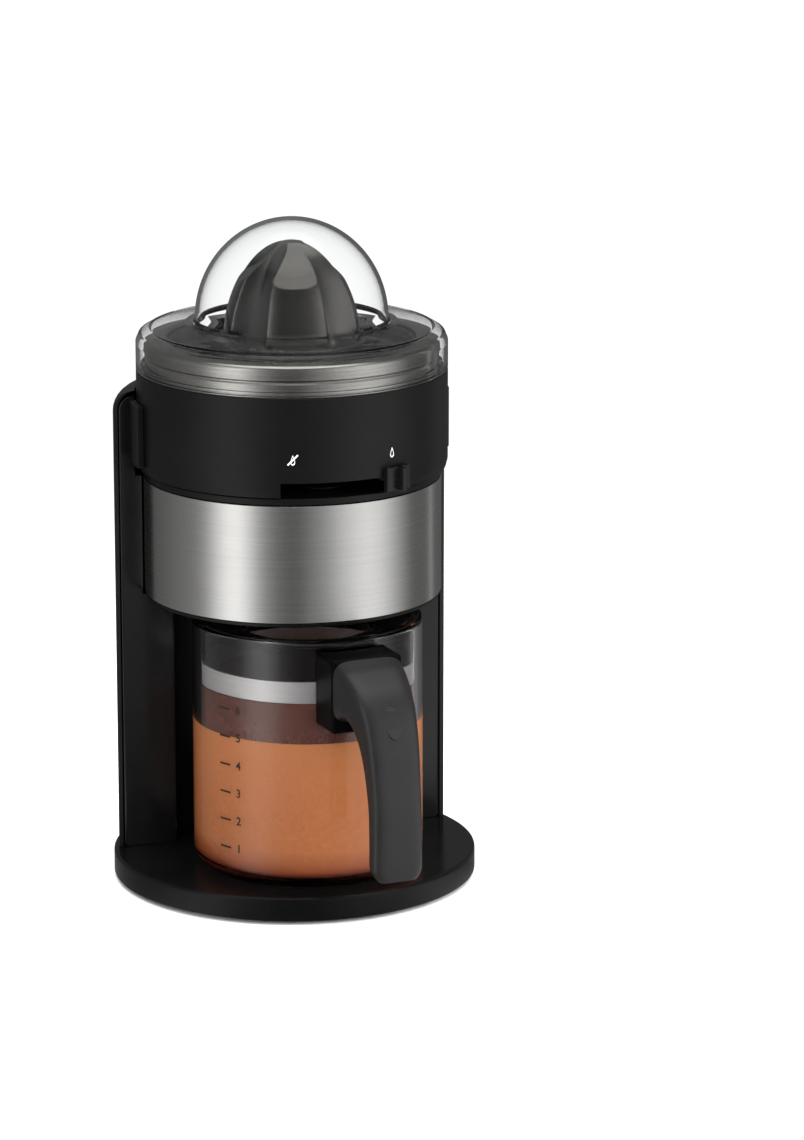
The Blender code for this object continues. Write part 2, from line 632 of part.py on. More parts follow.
def make_gate(frame, reservoir_frame):
    """Valve plate that turns round the skirt, its lever through the slot, and its retaining ring."""
    middle = front_angle(GATE_OPEN_ANGLE)
    reach = -OUTLET_Y
    hub = tube(GATE_HUB_IN, GATE_HUB_R, GATE_LOW, GATE_HIGH, SIDES)
    plate = node("drip_stop_gate", hub, white_nylon(), frame)
    pad_start, pad_end = front_angle(-12.0), front_angle(GATE_SWING + 12.0)
    pad = arc(reach + 10, pad_start, pad_end, 10) + arc(reach - 10, pad_end, pad_start, 8)
    join(plate, prism(pad, GATE_LOW, GATE_HIGH))
    lever = block((GATE_HUB_R - 3, RING_R + 2.2), (-4.5, 4.5), (GATE_LOW, GATE_HIGH))
    bmesh.ops.rotate(lever, verts=lever.verts, matrix=Matrix.Rotation(math.radians(middle), 3, "Z"))
    join(plate, lever)
    cut(plate, rod(OUTLET_R, GATE_LOW - 1, GATE_HIGH + 1, SMALL_SIDES, (0, OUTLET_Y)))

    half = math.degrees(7.5 / RING_R)
    inner_r, outer_r = RING_R + 0.5, RING_R + 3.6
    face = arc(outer_r, middle - half, middle + half, 4)
    back = arc(inner_r, middle + half, middle - half, 4)
    knob = node("drip_stop_knob", prism(face + back, RING_LOW + 0.6, RING_LOW + 13.0), satin_black(), frame)
    fin = block((outer_r - 1, outer_r + 4.4), (-1.3, 1.3), (RING_LOW + 0.6, RING_LOW + 13.0))
    bmesh.ops.rotate(fin, verts=fin.verts, matrix=Matrix.Rotation(math.radians(middle), 3, "Z"))
    join(knob, fin)
    socket = block((inner_r - 1, RING_R + 2.5), (-4.8, 4.8), (GATE_LOW - GAP, GATE_HIGH + GAP))
    bmesh.ops.rotate(socket, verts=socket.verts, matrix=Matrix.Rotation(math.radians(middle), 3, "Z"))
    cut(knob, socket)

    washer = tube(SKIRT_R + 0.15, GATE_HUB_R - 1, SKIRT_LOW + 0.2, GATE_LOW - 0.4, SMALL_SIDES * 2)
    node("gate_retainer", washer, white_nylon(), reservoir_frame)


# ---- strainer ---------------------------------------------------------------------------
COLLAR_R = RING_IN - 2.0
COLLAR_TOP = RING_HIGH + 12.5
BASKET_R = 63.5
STEEL = 1.2


def make_strainer(frame):
    """Steel collar that hangs in the ring, and the dark slotted floor that it carries."""
    groove = COLLAR_TOP - 5.5
    low = LEDGE_HIGH + GAP
    inside = COLLAR_R - STEEL
    shoulder = arc(4.0, 0, 75, 2, (COLLAR_R - 4.0, COLLAR_TOP - 1.0))
    within = arc(4.0 - STEEL, 75, 0, 1, (COLLAR_R - 4.0, COLLAR_TOP - 1.0))
    profile = [(COLLAR_R, low), (COLLAR_R, groove - 1), (COLLAR_R - 0.7, groove), (COLLAR_R, groove + 1)]
    profile += shoulder + [(BASKET_R + 2.2, COLLAR_TOP + 4.0), (BASKET_R + 0.6, COLLAR_TOP + 3.2)]
    profile += [(BASKET_R + 0.6, COLLAR_TOP + 1.8), (BASKET_R + 2.2, COLLAR_TOP + 2.4)]
    profile += within + [(inside, low + 2), (inside - 3, low + 1.4), (inside - 3, low)]
    node("strainer_collar", turned(profile), brushed_steel(), frame)

    hub = SKIRT_R + 1.2
    rim_high = COLLAR_TOP + 1.2
    profile = [(BASKET_R + 3.5, rim_high), (BASKET_R + 3.5, rim_high - 1.6), (BASKET_R, BASKET_FLOOR - 3)]
    profile += [(hub + 2, BASKET_FLOOR - THIN_WALL), (hub, BASKET_FLOOR - THIN_WALL), (hub, BASKET_FLOOR + 1.5)]
    profile += [(hub + 2, BASKET_FLOOR + 1.5), (hub + 2, BASKET_FLOOR), (BASKET_R - 4, BASKET_FLOOR - 1)]
    profile += [(BASKET_R - 1, rim_high)]
    basket = node("strainer_basket", turned(profile), charcoal(), frame)
    slots = 8
    for number in range(slots):
        turn = 360.0 * number / slots
        outline = arc(BASKET_R - 8, turn - 14, turn + 14, 2) + arc(hub + 14, turn + 8, turn - 8, 1)
        cut(basket, prism(outline, BASKET_FLOOR - 6, BASKET_FLOOR + 4))


# ---- reamer -----------------------------------------------------------------------------
CONE_RIBS = 6
CONE_STEPS = 8
CONE_SIDES = 36
CONE_WALL = 3.0
CAVITY_SHARE = 0.78
PADDLE_ANGLE = 24.0
PADDLE_REACH = 50.0


def cone_radius(share):
    """Radius of the cone's outline at a share of its height."""
    return CONE_R * (1.0 - share) ** 0.315


def make_reamer(frame):
    """Ribbed cone, the drive socket inside it and the ring with two paddles under it."""
    bm = bmesh.new()
    rings = []
    for step in range(CONE_STEPS):
        share = 0.985 * math.sin(math.pi / 2 * step / (CONE_STEPS - 1)) ** 1.1
        ring = []
        for side in range(CONE_SIDES):
            angle = math.tau * side / CONE_SIDES
            wave = 0.5 + 0.5 * math.cos(CONE_RIBS * angle)
            radius = cone_radius(share) * (1.0 - 0.10 * (1.0 - wave))
            height = CONE_LOW + CONE_TALL * share
            place = (radius * math.cos(angle), radius * math.sin(angle), height)
            ring.append(bm.verts.new(Vector(place) * MM))
        rings.append(ring)
    for lower, upper in zip(rings, rings[1:]):
        for side in range(CONE_SIDES):
            after = (side + 1) % CONE_SIDES
            bm.faces.new((lower[side], lower[after], upper[after], upper[side]))
    tip = bm.verts.new((0, 0, (CONE_LOW + CONE_TALL) * MM))
    for side in range(CONE_SIDES):
        bm.faces.new((rings[-1][side], rings[-1][(side + 1) % CONE_SIDES], tip))
    bm.faces.new(rings[0])
    bmesh.ops.recalc_face_normals(bm, faces=bm.faces)
    cone = node("reamer_cone", bm, charcoal(), frame, smooth=25.0)
    cavity = [(0, CONE_LOW - 1), (CONE_R - 7, CONE_LOW - 1)]
    for share in (0.3, 0.6, CAVITY_SHARE):
        cavity.append((0.82 * cone_radius(share) - CONE_WALL, CONE_LOW + CONE_TALL * share))
    cavity.append((0, CONE_LOW + CONE_TALL * CAVITY_SHARE))
    cut(cone, turned(cavity, SMALL_SIDES))

    flange = CONE_LOW - GAP
    socket_r = 9.0
    insert = [(0, SPINDLE_HIGH + 2), (socket_r, SPINDLE_HIGH + 2), (socket_r, flange), (CONE_R - 9, flange)]
    insert += [(CONE_R - 9, flange - THIN_WALL), (0, flange - THIN_WALL)]
    insert = node("cone_insert", turned(insert, SMALL_SIDES), white_nylon(), frame)
    cut(insert, prism(hexagon(SPINDLE_FLATS + 0.6), flange - 5, SPINDLE_HIGH + 0.6))

    ring_in = CONE_R - 9 + SLIDE_GAP
    sweeper = tube(ring_in, CONE_R + 2.0, flange - THIN_WALL, flange, SIDES)
    sweeper = node("pulp_sweeper", sweeper, charcoal(), frame)
    for turn in (PADDLE_ANGLE, PADDLE_ANGLE + 180.0):
        arm = block((CONE_R - 3, PADDLE_REACH), (-5.5, 5.5), (flange - THIN_WALL, flange))
        paddle = block((PADDLE_REACH - 9, PADDLE_REACH), (-5.5, 5.5), (flange - THIN_WALL, flange + 4.5))
        for shape in (arm, paddle):
            bmesh.ops.rotate(shape, verts=shape.verts, matrix=Matrix.Rotation(math.radians(turn), 3, "Z"))
            join(sweeper, shape)


# ---- dust cover -------------------------------------------------------------------------
COVER_WALL = 2.0


def dome_arc(inset, start, end, count):
    """Points on the dome's outline, that far inside its outer face, angles in degrees."""
    points = []
    for i in range(count + 1):
        turn = math.radians(start + (end - start) * i / count)
        radius = (DOME_R - inset) * math.cos(turn)
        points.append((radius, DOME_CENTRE + (DOME_TALL - inset) * math.sin(turn)))
    return points


def make_dust_cover(frame):
    """Clear cover: a short wall on the ring, a rim, a shallow slope and a dome over the cone."""
    shoulder_z = RIM_Z - 7.0
    meet_r = DOME_R + 2.0
    meet_z = RIM_Z + 2.6
    start = math.degrees(math.asin((meet_z + 2.0 - DOME_CENTRE) / DOME_TALL))
    dome = dome_arc(0.0, start, 90.0, 6)
    inner_dome = dome_arc(COVER_WALL, 90.0, 0.0, 5)
    lip_r = RING_IN - SLIDE_GAP
    outer = [(RING_R, COVER_LOW), (RING_R, shoulder_z), (RING_R - 1.7, shoulder_z + 4.0), (RIM_R, RIM_Z)]
    outer += [(RIM_R - 1.5, RIM_Z), (meet_r + 3, meet_z), (meet_r, meet_z + 0.5)] + dome
    outer[-1] = (0, TOTAL_HEIGHT)
    inner_dome[0] = (0, TOTAL_HEIGHT - COVER_WALL)
    inner = inner_dome + [(RIM_R - 1.0, RIM_Z - COVER_WALL), (RING_R - 3.6, shoulder_z + 3.0)]
    inner += [(RING_R - COVER_WALL, shoulder_z - 1), (RING_R - COVER_WALL, COVER_LOW + 2.5)]
    inner += [(lip_r - 1.0, COVER_LOW + 2.0), (lip_r - 1.0, COVER_LOW - 2.8), (lip_r, COVER_LOW - 2.8)]
    inner += [(lip_r, COVER_LOW)]
    node("dust_cover", turned(outer + inner), clear_plastic(), frame)


# ---- jug --------------------------------------------------------------------------------
JUG_WALL = 4.4
JUG_IN = JUG_R - JUG_WALL
INSERT_R = JUG_IN - 0.5
LID_LOW = JUG_HIGH - 20.5
BAND_TALL = 11.4
BRACKET_HALF = 19.0
BRACKET_R = 80.0
BRACKET_LOW = JUG_HIGH - 41.5
BRACKET_HIGH = JUG_HIGH - 3.5
GRIP_HALF = 13.0
GRIP_LOW = 36.0
THUMB_NOTCH = 34.0
HANDLE_SCREW_HEIGHTS = (LID_LOW - 3.0, LID_LOW - 8.8)


def make_jug(frame, lid_frame):
    """Clear jug with a steel backing band, a black handle and a smoky plug lid."""
    foot_r = JUG_R - 9.0
    corner = arc(7.5, -60, 0, 3, (JUG_R - 7.5, JUG_LOW + 8.2))
    profile = [(0, JUG_LOW + 1.2), (foot_r - 3, JUG_LOW + 1.2), (foot_r - 2, JUG_LOW), (foot_r + 2, JUG_LOW)]
    profile += corner + [(JUG_R, JUG_HIGH - 1.5), (JUG_R - 1.2, JUG_HIGH), (JUG_IN + 0.8, JUG_HIGH)]
    profile += [(JUG_IN, JUG_HIGH - 1), (JUG_IN, JUG_LOW + 12), (JUG_IN - 2, JUG_LOW + 7.6)]
    profile += [(JUG_IN - 6, JUG_LOW + 5.4), (0, JUG_LOW + 5.4)]
    body = node("jug_body", turned(profile), clear_plastic(), frame)

    band = tube(INSERT_R - SHEET, INSERT_R, LID_LOW - GAP - BAND_TALL, LID_LOW - GAP, SIDES)
    band = node("jug_band", band, brushed_steel(), frame)
    for number, height in enumerate(HANDLE_SCREW_HEIGHTS, 1):
        cut(body, handle_screw_hole(height))
        cut(band, handle_screw_hole(height))
        start = INSERT_R - SHEET - 1.6
        shank = [(0, start), (2.7, start), (2.7, start + 1.2), (1.5, start + 1.2)]
        shank += [(1.5, JUG_R + 8), (0, JUG_R + 8)]
        node("handle_screw_%d" % number, towards_handle(shank, height), bright_steel(), frame)
    make_handle(frame)

    top = JUG_HIGH + 1.3
    flange = JUG_R - 2.2
    inlet = 33.0
    skirt_in = INSERT_R - 1.8
    lid = [(INSERT_R, JUG_HIGH - 0.8), (INSERT_R, LID_LOW), (skirt_in, LID_LOW), (skirt_in, top - 6)]
    lid += [(inlet + 4, top - 8), (inlet + 3, top - 14), (inlet, top - 14), (inlet, top - 7)]
    lid += [(inlet + 1.5, top - 5.6)]
    lid += [(INSERT_R - 3, top - 3.4), (INSERT_R - 1.5, top), (flange, top), (flange, JUG_HIGH + GAP)]
    lid += [(INSERT_R, JUG_HIGH + GAP)]
    lid = node("jug_lid", turned(lid), smoky_plastic(), lid_frame)
    half = THUMB_NOTCH / 2
    cut(lid, block((-half, half), (-JUG_R, -(INSERT_R - 1.0)), (JUG_HIGH - 1, top + 1)))


def handle_screw_hole(height):
    hole = [(0, JUG_IN - 8), (1.8, JUG_IN - 8), (1.8, JUG_R + 10), (0, JUG_R + 10)]
    return towards_handle(hole, height)


def towards_handle(profile, height, sides=12):
    """A turned piece whose axis runs out from the jug's axis to the handle."""
    bm = turned(profile, sides)
    bmesh.ops.rotate(bm, verts=bm.verts, matrix=Matrix.Rotation(math.pi / 2, 3, "X"))
    return moved(bm, (0, 0), height)


def swept(sections):
    """Skin over rectangular sections, each given as four corner points, with both ends closed."""
    bm = bmesh.new()
    rings = [[bm.verts.new(Vector(point) * MM) for point in section] for section in sections]
    for first, second in zip(rings, rings[1:]):
        for k in range(4):
            following = (k + 1) % 4
            bm.faces.new((first[k], first[following], second[following], second[k]))
    bm.faces.new(rings[0])
    bm.faces.new(rings[-1])
    bmesh.ops.recalc_face_normals(bm, faces=bm.faces)
    return bm


def make_handle(frame):
    """Bracket on the jug's wall, and the bowed grip that hangs from it with its cap."""
    bracket = block((-BRACKET_HALF, BRACKET_HALF), (-BRACKET_R, -30), (BRACKET_LOW, BRACKET_HIGH))
    bracket = node("handle_bracket", bracket, satin_black(), frame)
    cut(bracket, rod(JUG_R + 0.4, BRACKET_LOW - 1, BRACKET_HIGH + 1, SIDES))
    for height in HANDLE_SCREW_HEIGHTS:
        cut(bracket, handle_screw_hole(height))
    rounded(bracket, 1.6)

    start = BRACKET_R + GAP
    reach = HANDLE_REACH
    # Outer and inner edge of the grip in the handle's upright plane, from the bracket down.
    outer = [(start, BRACKET_HIGH), (reach - 30, BRACKET_HIGH - 5), (reach - 16, BRACKET_HIGH - 16)]
    outer += [(reach - 6.5, BRACKET_HIGH - 35), (reach - 1, BRACKET_HIGH - 64)]
    outer += [(reach, GRIP_LOW + 20), (reach, GRIP_LOW)]
    inner = [(start, BRACKET_LOW + 6), (reach - 35, BRACKET_LOW + 8), (reach - 27, BRACKET_LOW + 4)]
    inner += [(reach - 19, BRACKET_LOW - 9), (reach - 14, BRACKET_LOW - 30), (reach - 12.5, GRIP_LOW + 20)]
    inner += [(reach - 12.5, GRIP_LOW + 2)]
    halves = [BRACKET_HALF, 17.5, 15.5, 14.0, GRIP_HALF, GRIP_HALF, GRIP_HALF]
    sections = []
    for (far, high), (near, low), half in zip(outer, inner, halves):
        section = [(-half, -far, high), (half, -far, high), (half, -near, low), (-half, -near, low)]
        sections.append(section)
    grip = node("handle_grip", swept(sections), satin_black(), frame)
    rounded(grip, 2.4)
    node("handle_cap", cap_shape(reach), gloss_black(), frame)


def cap_shape(reach):
    """Thin oval cap lying just off the grip's outer face, between its third and fourth sections."""
    rise, run = 19.0, 9.5
    middle = BRACKET_HIGH - 16 - rise / 2
    face = reach - 16 + run / 2
    turns = [math.tau * i / 20 for i in range(20)]
    bm = prism([(4.6 * math.cos(t), 9.0 * math.sin(t)) for t in turns], 0, 1.0)
    upright = Matrix.Rotation(math.pi / 2 - math.atan2(run, rise), 3, "X")
    bmesh.ops.rotate(bm, verts=bm.verts, matrix=upright)
    bmesh.ops.translate(bm, verts=bm.verts, vec=Vector((0, -(face + GAP + 0.1), middle)) * MM)
    return bm


# ---- assembly ---------------------------------------------------------------------------
def build():
    clear_scene()
    stand = empty("press_axis", (0, AXIS_Y, 0))
    rotor = empty("rotor_axis", (*MOTOR_PLACE, 0), stand)
    idler = empty("idler_axis", (*idler_place(), 0), stand)
    output = empty("output_gear_axis", (0, 0, 0), stand)
    carriage = empty("press_carriage", (0, 0, 0), stand)
    spindle = empty("spindle_axis", (0, 0, 0), carriage)
    button = empty("switch_button_axis", (0, 0, 0), stand)
    reamer = empty("reamer_axis", (0, 0, 0), spindle)
    reservoir = empty("reservoir_axis", (0, 0, 0), stand)
    gate = empty("gate_axis", (0, 0, 0), reservoir)
    strainer = empty("strainer_axis", (0, 0, 0), reservoir)
    cover = empty("cover_axis", (0, 0, 0), reservoir)
    jug = empty("jug_axis", (0, JUG_AXIS_Y, 0), stand)
    jug.rotation_euler = (0, 0, math.radians(HANDLE_ANGLE))
    lid = empty("lid_axis", (0, 0, 0), jug)

    make_base(stand)
    make_column(stand)
    make_cord_gland(stand)
    make_housing(stand)
    make_spindle_bearing(stand)
    make_motor(stand, rotor)
    make_gears(stand, idler, output)
    make_drive(stand, carriage, spindle, button)
    make_reservoir(reservoir)
    make_gate(gate, reservoir)
    make_strainer(strainer)
    make_reamer(reamer)
    make_dust_cover(cover)
    make_jug(jug, lid)


build()
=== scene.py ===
"""Citrus press juicer: steel-banded motor drum on a black upright, with a handled jug below it.

Sizes are in millimetres until a piece is made; heights are above the worktop, and plan places
are measured from the press axis, the front being -Y.
"""

import math

import bmesh
import bpy
import numpy as np
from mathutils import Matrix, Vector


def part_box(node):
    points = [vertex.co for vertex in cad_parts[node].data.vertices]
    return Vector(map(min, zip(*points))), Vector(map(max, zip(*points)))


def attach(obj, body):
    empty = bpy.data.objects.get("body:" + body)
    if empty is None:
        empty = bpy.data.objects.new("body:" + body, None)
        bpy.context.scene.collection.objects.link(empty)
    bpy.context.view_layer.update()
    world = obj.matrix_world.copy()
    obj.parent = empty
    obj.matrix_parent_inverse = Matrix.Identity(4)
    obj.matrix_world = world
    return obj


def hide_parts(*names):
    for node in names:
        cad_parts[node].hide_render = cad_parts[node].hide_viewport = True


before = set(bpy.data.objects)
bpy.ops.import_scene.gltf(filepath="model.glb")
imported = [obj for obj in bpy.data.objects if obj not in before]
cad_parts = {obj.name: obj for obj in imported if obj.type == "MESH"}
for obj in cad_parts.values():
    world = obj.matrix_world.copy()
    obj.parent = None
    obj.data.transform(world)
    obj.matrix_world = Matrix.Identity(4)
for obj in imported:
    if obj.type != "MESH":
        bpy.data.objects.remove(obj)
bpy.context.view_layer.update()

# ---- base ------------------------------------------------------------------------------------
# Moulded black plastic disc, polished on top and satin round its side, on four rubber feet.
# It carries the upright and the jug, and a screwed plate closes it below.

MM = 0.001
PRESS_X, PRESS_Y = [(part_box("motor_band")[0][i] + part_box("motor_band")[1][i]) / 2 / MM for i in (0, 1)]


def low_of(node):
    """Lowest height of a CAD node, in millimetres."""
    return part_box(node)[0].z / MM


def high_of(node):
    """Highest height of a CAD node, in millimetres."""
    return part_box(node)[1].z / MM


def radius_of(node):
    """Half the width of a round CAD node, in millimetres."""
    return (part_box(node)[1].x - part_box(node)[0].x) / 2 / MM


def softened(corners, radii, steps=5):
    """Closed outline whose corners become quadratic arcs: point = (1-t)^2 a + 2t(1-t) corner + t^2 b,
    where a and b lie on the two edges. A corner of radius 0 stays as it is. Each arc has a short
    straight lead at both ends, so that the flats beside it shade flat."""
    corners = np.asarray(corners, float)
    radii = np.broadcast_to(np.asarray(radii, float), len(corners))
    before = np.roll(corners, 1, axis=0) - corners
    after = np.roll(corners, -1, axis=0) - corners
    before_length = np.linalg.norm(before, axis=1)
    after_length = np.linalg.norm(after, axis=1)
    before /= before_length[:, None]
    after /= after_length[:, None]
    half = np.arccos(np.clip((before * after).sum(1), -1, 1)) / 2
    shortest = np.minimum(before_length, after_length)
    reach = np.minimum(radii / np.tan(np.maximum(half, 0.05)), 0.40 * shortest)
    lead = reach + np.minimum(0.4, 0.08 * shortest)
    t = np.linspace(0, 1, steps + 1)[None, :, None]
    first = (corners + before * reach[:, None])[:, None]
    last = (corners + after * reach[:, None])[:, None]
    arcs = (1 - t) ** 2 * first + 2 * t * (1 - t) * corners[:, None] + t**2 * last
    start = (corners + before * lead[:, None])[:, None]
    end = (corners + after * lead[:, None])[:, None]
    rows = np.concatenate([start, arcs, end], axis=1)
    keep = np.repeat(radii[:, None] > 0, rows.shape[1], axis=1)
    rows[radii == 0, 0] = corners[radii == 0]
    keep[:, 0] = True
    return rows[keep]


def grid_quads(rows, columns, close_rows=True):
    """Quads over a grid whose columns run right round; its last row joins its first if close_rows."""
    cells = np.arange(rows * columns).reshape(rows, columns)
    across = np.roll(cells, -1, axis=1)
    if close_rows:
        quads = (cells, across, np.roll(across, -1, axis=0), np.roll(cells, -1, axis=0))
    else:
        quads = (cells[:-1], across[:-1], across[1:], cells[1:])
    return np.stack(quads, axis=-1).reshape(-1, 4).tolist()


def turned(profile, sides=144):
    """Points and quads of a closed (radius, height) profile turned once about Z:
    point = (radius cos a, radius sin a, height)."""
    profile = np.asarray(profile, float)
    a = np.linspace(0, math.tau, sides, endpoint=False)
    radius, height = profile[:, 0][:, None], profile[:, 1][:, None]
    points = np.stack([radius * np.cos(a), radius * np.sin(a), height + 0 * a], axis=-1)
    return points.reshape(-1, 3), grid_quads(len(profile), sides)


def stacked(rings):
    """Points and faces of a stack of rings with the same number of points, its two ends closed."""
    rings = np.asarray(rings, float)
    rows, columns = rings.shape[:2]
    ends = [list(range(columns))[::-1], list(range((rows - 1) * columns, rows * columns))]
    return rings.reshape(-1, 3), grid_quads(rows, columns, close_rows=False) + ends


def solid(name, shape, at=(0.0, 0.0), turn=0.0):
    """Mesh object of the points and faces, turned about Z and shifted in plan, with its doubles
    merged, its faces outwards and its sharp edges kept sharp."""
    points, faces = shape
    c, s = math.cos(turn), math.sin(turn)
    x, y, z = np.asarray(points, float).T
    placed = np.stack([c * x - s * y + at[0] + PRESS_X, s * x + c * y + at[1] + PRESS_Y, z], axis=1)
    mesh = bpy.data.meshes.new(name)
    mesh.from_pydata((placed * MM).tolist(), [], faces)
    bm = bmesh.new()
    bm.from_mesh(mesh)
    bmesh.ops.remove_doubles(bm, verts=bm.verts, dist=2e-6)
    bmesh.ops.recalc_face_normals(bm, faces=bm.faces)
    bm.to_mesh(mesh)
    bm.free()
    shaded(mesh)
    made = bpy.data.objects.new(name, mesh)
    bpy.context.scene.collection.objects.link(made)
    return made


def shaded(mesh, limit=36.0):
    """Smooth shading, broken at edges that turn by more than the limit in degrees."""
    mesh.shade_smooth()
    mesh.set_sharp_from_angle(angle=math.radians(limit))


def fitted(piece, material, body, slot, *nodes):
    """Gives the piece its material, says which body it rides and hides the nodes it stands for; its slot
    argument is not used.
    """
    piece.data.materials.clear()
    piece.data.materials.append(material)
    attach(piece, body)
    if nodes:
        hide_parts(*nodes)
    return piece


def kept(material, *nodes):
    """CAD nodes whose shape is right as it is, given a worked material."""
    for name in nodes:
        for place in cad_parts[name].material_slots:
            place.material = material


def node(tree, kind, **settings):
    """A shader node with its settings."""
    made = tree.nodes.new(kind)
    for key, value in settings.items():
        setattr(made, key, value)
    return made


def wire(tree, source, target):
    """Joins an output socket to an input socket."""
    tree.links.new(source, target)


def effect(name, inputs, outputs):
    """An empty shader group with its named sockets, given as (name, kind, default value)."""
    group = bpy.data.node_groups.new(name, "ShaderNodeTree")
    for label, kind, default in inputs:
        socket = group.interface.new_socket(label, in_out="INPUT", socket_type=kind)
        socket.default_value = default
    for label, kind in outputs:
        group.interface.new_socket(label, in_out="OUTPUT", socket_type=kind)
    return group, group.nodes.new("NodeGroupInput").outputs, group.nodes.new("NodeGroupOutput").inputs


FLOAT, COLOUR, VECTOR = "NodeSocketFloat", "NodeSocketColor", "NodeSocketVector"


def cloud(tree, place, scale, detail=2.0, rough=0.5):
    """Noise at so many features a metre, as a value about 0.5."""
    noise = node(tree, "ShaderNodeTexNoise")
    noise.inputs["Detail"].default_value = detail
    noise.inputs["Roughness"].default_value = rough
    wire(tree, place, noise.inputs["Vector"])
    if hasattr(scale, "is_output"):
        wire(tree, scale, noise.inputs["Scale"])
    else:
        noise.inputs["Scale"].default_value = scale
    return noise.outputs["Fac"]


def spread(tree, value, low, high, out_low, out_high):
    """Maps a value from one range to another, clamped; each end is a number or a socket."""
    step = node(tree, "ShaderNodeMapRange")
    wire(tree, value, step.inputs[0])
    for place, end in enumerate((low, high, out_low, out_high), 1):
        if hasattr(end, "is_output"):
            wire(tree, end, step.inputs[place])
        else:
            step.inputs[place].default_value = end
    return step.outputs[0]


def blended(tree, share, first, second):
    """Colour mixed from two sockets or colours by a share."""
    mix = node(tree, "ShaderNodeMix", data_type="RGBA")
    wire(tree, share, mix.inputs[0])
    for place, colour in ((6, first), (7, second)):
        if hasattr(colour, "is_output"):
            wire(tree, colour, mix.inputs[place])
        else:
            mix.inputs[place].default_value = (*colour, 1.0)
    return mix.outputs[2]


def bumped(tree, height, depth, reach=0.0004):
    """The normal of a surface raised by reach x height, as strongly as depth, a number or a socket."""
    bump = node(tree, "ShaderNodeBump")
    bump.inputs["Distance"].default_value = reach
    if hasattr(depth, "is_output"):
        wire(tree, depth, bump.inputs["Strength"])
    else:
        bump.inputs["Strength"].default_value = depth
    wire(tree, height, bump.inputs["Height"])
    return bump.outputs["Normal"]


# Moulded plastic: a faint spark-eroded grain, slow waves left by cooling, and handling marks
# that change the gloss in soft patches.
moulding, take, give = effect(
    "moulded_skin",
    [("Colour", COLOUR, (0.02, 0.02, 0.02, 1.0)), ("Worn colour", COLOUR, (0.03, 0.03, 0.03, 1.0)),
     ("Gloss low", FLOAT, 0.25), ("Gloss high", FLOAT, 0.4), ("Grain size", FLOAT, 2200.0),
     ("Grain depth", FLOAT, 0.12), ("Patch size", FLOAT, 26.0)],
    [("Colour", COLOUR), ("Roughness", FLOAT), ("Normal", VECTOR)],
)
place = node(moulding, "ShaderNodeTexCoord").outputs["Object"]
patches = cloud(moulding, place, take["Patch size"], 4.0, 0.6)
grain = cloud(moulding, place, take["Grain size"], 1.0)
wire(moulding, blended(moulding, spread(moulding, patches, 0.42, 0.68, 0.0, 1.0), take["Colour"],
                       take["Worn colour"]), give["Colour"])
wire(moulding, spread(moulding, patches, 0.3, 0.7, take["Gloss low"], take["Gloss high"]), give["Roughness"])
wire(moulding, bumped(moulding, grain, take["Grain depth"]), give["Normal"])


def new_material(name, **plain):
    """A Principled material whose even values stand on the shader's own sockets."""
    made = bpy.data.materials.new(name)
    made.use_nodes = True
    shader = made.node_tree.nodes["Principled BSDF"]
    for key, value in plain.items():
        shader.inputs[key.replace("_", " ")].default_value = value
    return made, made.node_tree, shader


def plastic(name, colour, worn, gloss, grain=(2200.0, 0.12), patch=26.0, **plain):
    """Moulded plastic with its own colours, gloss range, grain and patch size."""
    made, tree, shader = new_material(name, **plain)
    skin = node(tree, "ShaderNodeGroup", node_tree=moulding)
    values = ((*colour, 1.0), (*worn, 1.0), gloss[0], gloss[1], grain[0], grain[1], patch)
    for socket, value in zip(skin.inputs, values):
        socket.default_value = value
    wire(tree, skin.outputs["Colour"], shader.inputs["Base Color"])
    wire(tree, skin.outputs["Roughness"], shader.inputs["Roughness"])
    wire(tree, skin.outputs["Normal"], shader.inputs["Normal"])
    return made


BASE_R = radius_of("base_shell")
BASE_LOW = low_of("base_shell")
BASE_TOP = high_of("base_shell")
BASE_WALL = 2.5

base_black = plastic("base_black", (0.003, 0.003, 0.0033), (0.0045, 0.0045, 0.0048), (0.12, 0.20),
                     grain=(900.0, 0.02), Specular_IOR_Level=0.12, Coat_Weight=0.02, Coat_Roughness=0.05)
profile = softened(
    [(0, BASE_TOP), (BASE_R, BASE_TOP), (BASE_R, BASE_LOW), (BASE_R - BASE_WALL, BASE_LOW),
     (BASE_R - BASE_WALL, BASE_TOP - BASE_WALL), (0, BASE_TOP - BASE_WALL)],
    [0, 1.6, 1.0, 0.3, 0.8, 0],
)
fitted(solid("base_disc", turned(profile, 192)), base_black, "stand", "gloss_black", "base_shell")

underside_black = plastic("underside_black", (0.02, 0.02, 0.02), (0.03, 0.03, 0.03), (0.45, 0.6))
kept(underside_black, "base_plate")
foot_rubber = plastic("foot_rubber", (0.03, 0.03, 0.031), (0.06, 0.058, 0.055), (0.75, 0.95),
                      grain=(3000.0, 0.3))
kept(foot_rubber, "foot_1", "foot_2", "foot_3", "foot_4")

# Screws and other turned steel: bright, with fine lathe rings.
turned_steel, tree, shader = new_material("turned_steel", Metallic=1.0)
place = node(tree, "ShaderNodeTexCoord").outputs["Object"]
rings = cloud(tree, place, 1400.0, 3.0)
wire(tree, blended(tree, rings, (0.50, 0.50, 0.49), (0.72, 0.71, 0.70)), shader.inputs["Base Color"])
wire(tree, spread(tree, rings, 0.3, 0.7, 0.18, 0.36), shader.inputs["Roughness"])
wire(tree, bumped(tree, rings, 0.15), shader.inputs["Normal"])
kept(turned_steel, "base_screw_1", "base_screw_2", "base_screw_3")

# ---- upright ---------------------------------------------------------------------------------
# U-shaped moulding that clasps the jug and carries the drum: its front panel is polished black
# and hollowed to three radii, and a satin shell with vents and the cord bush closes its back.

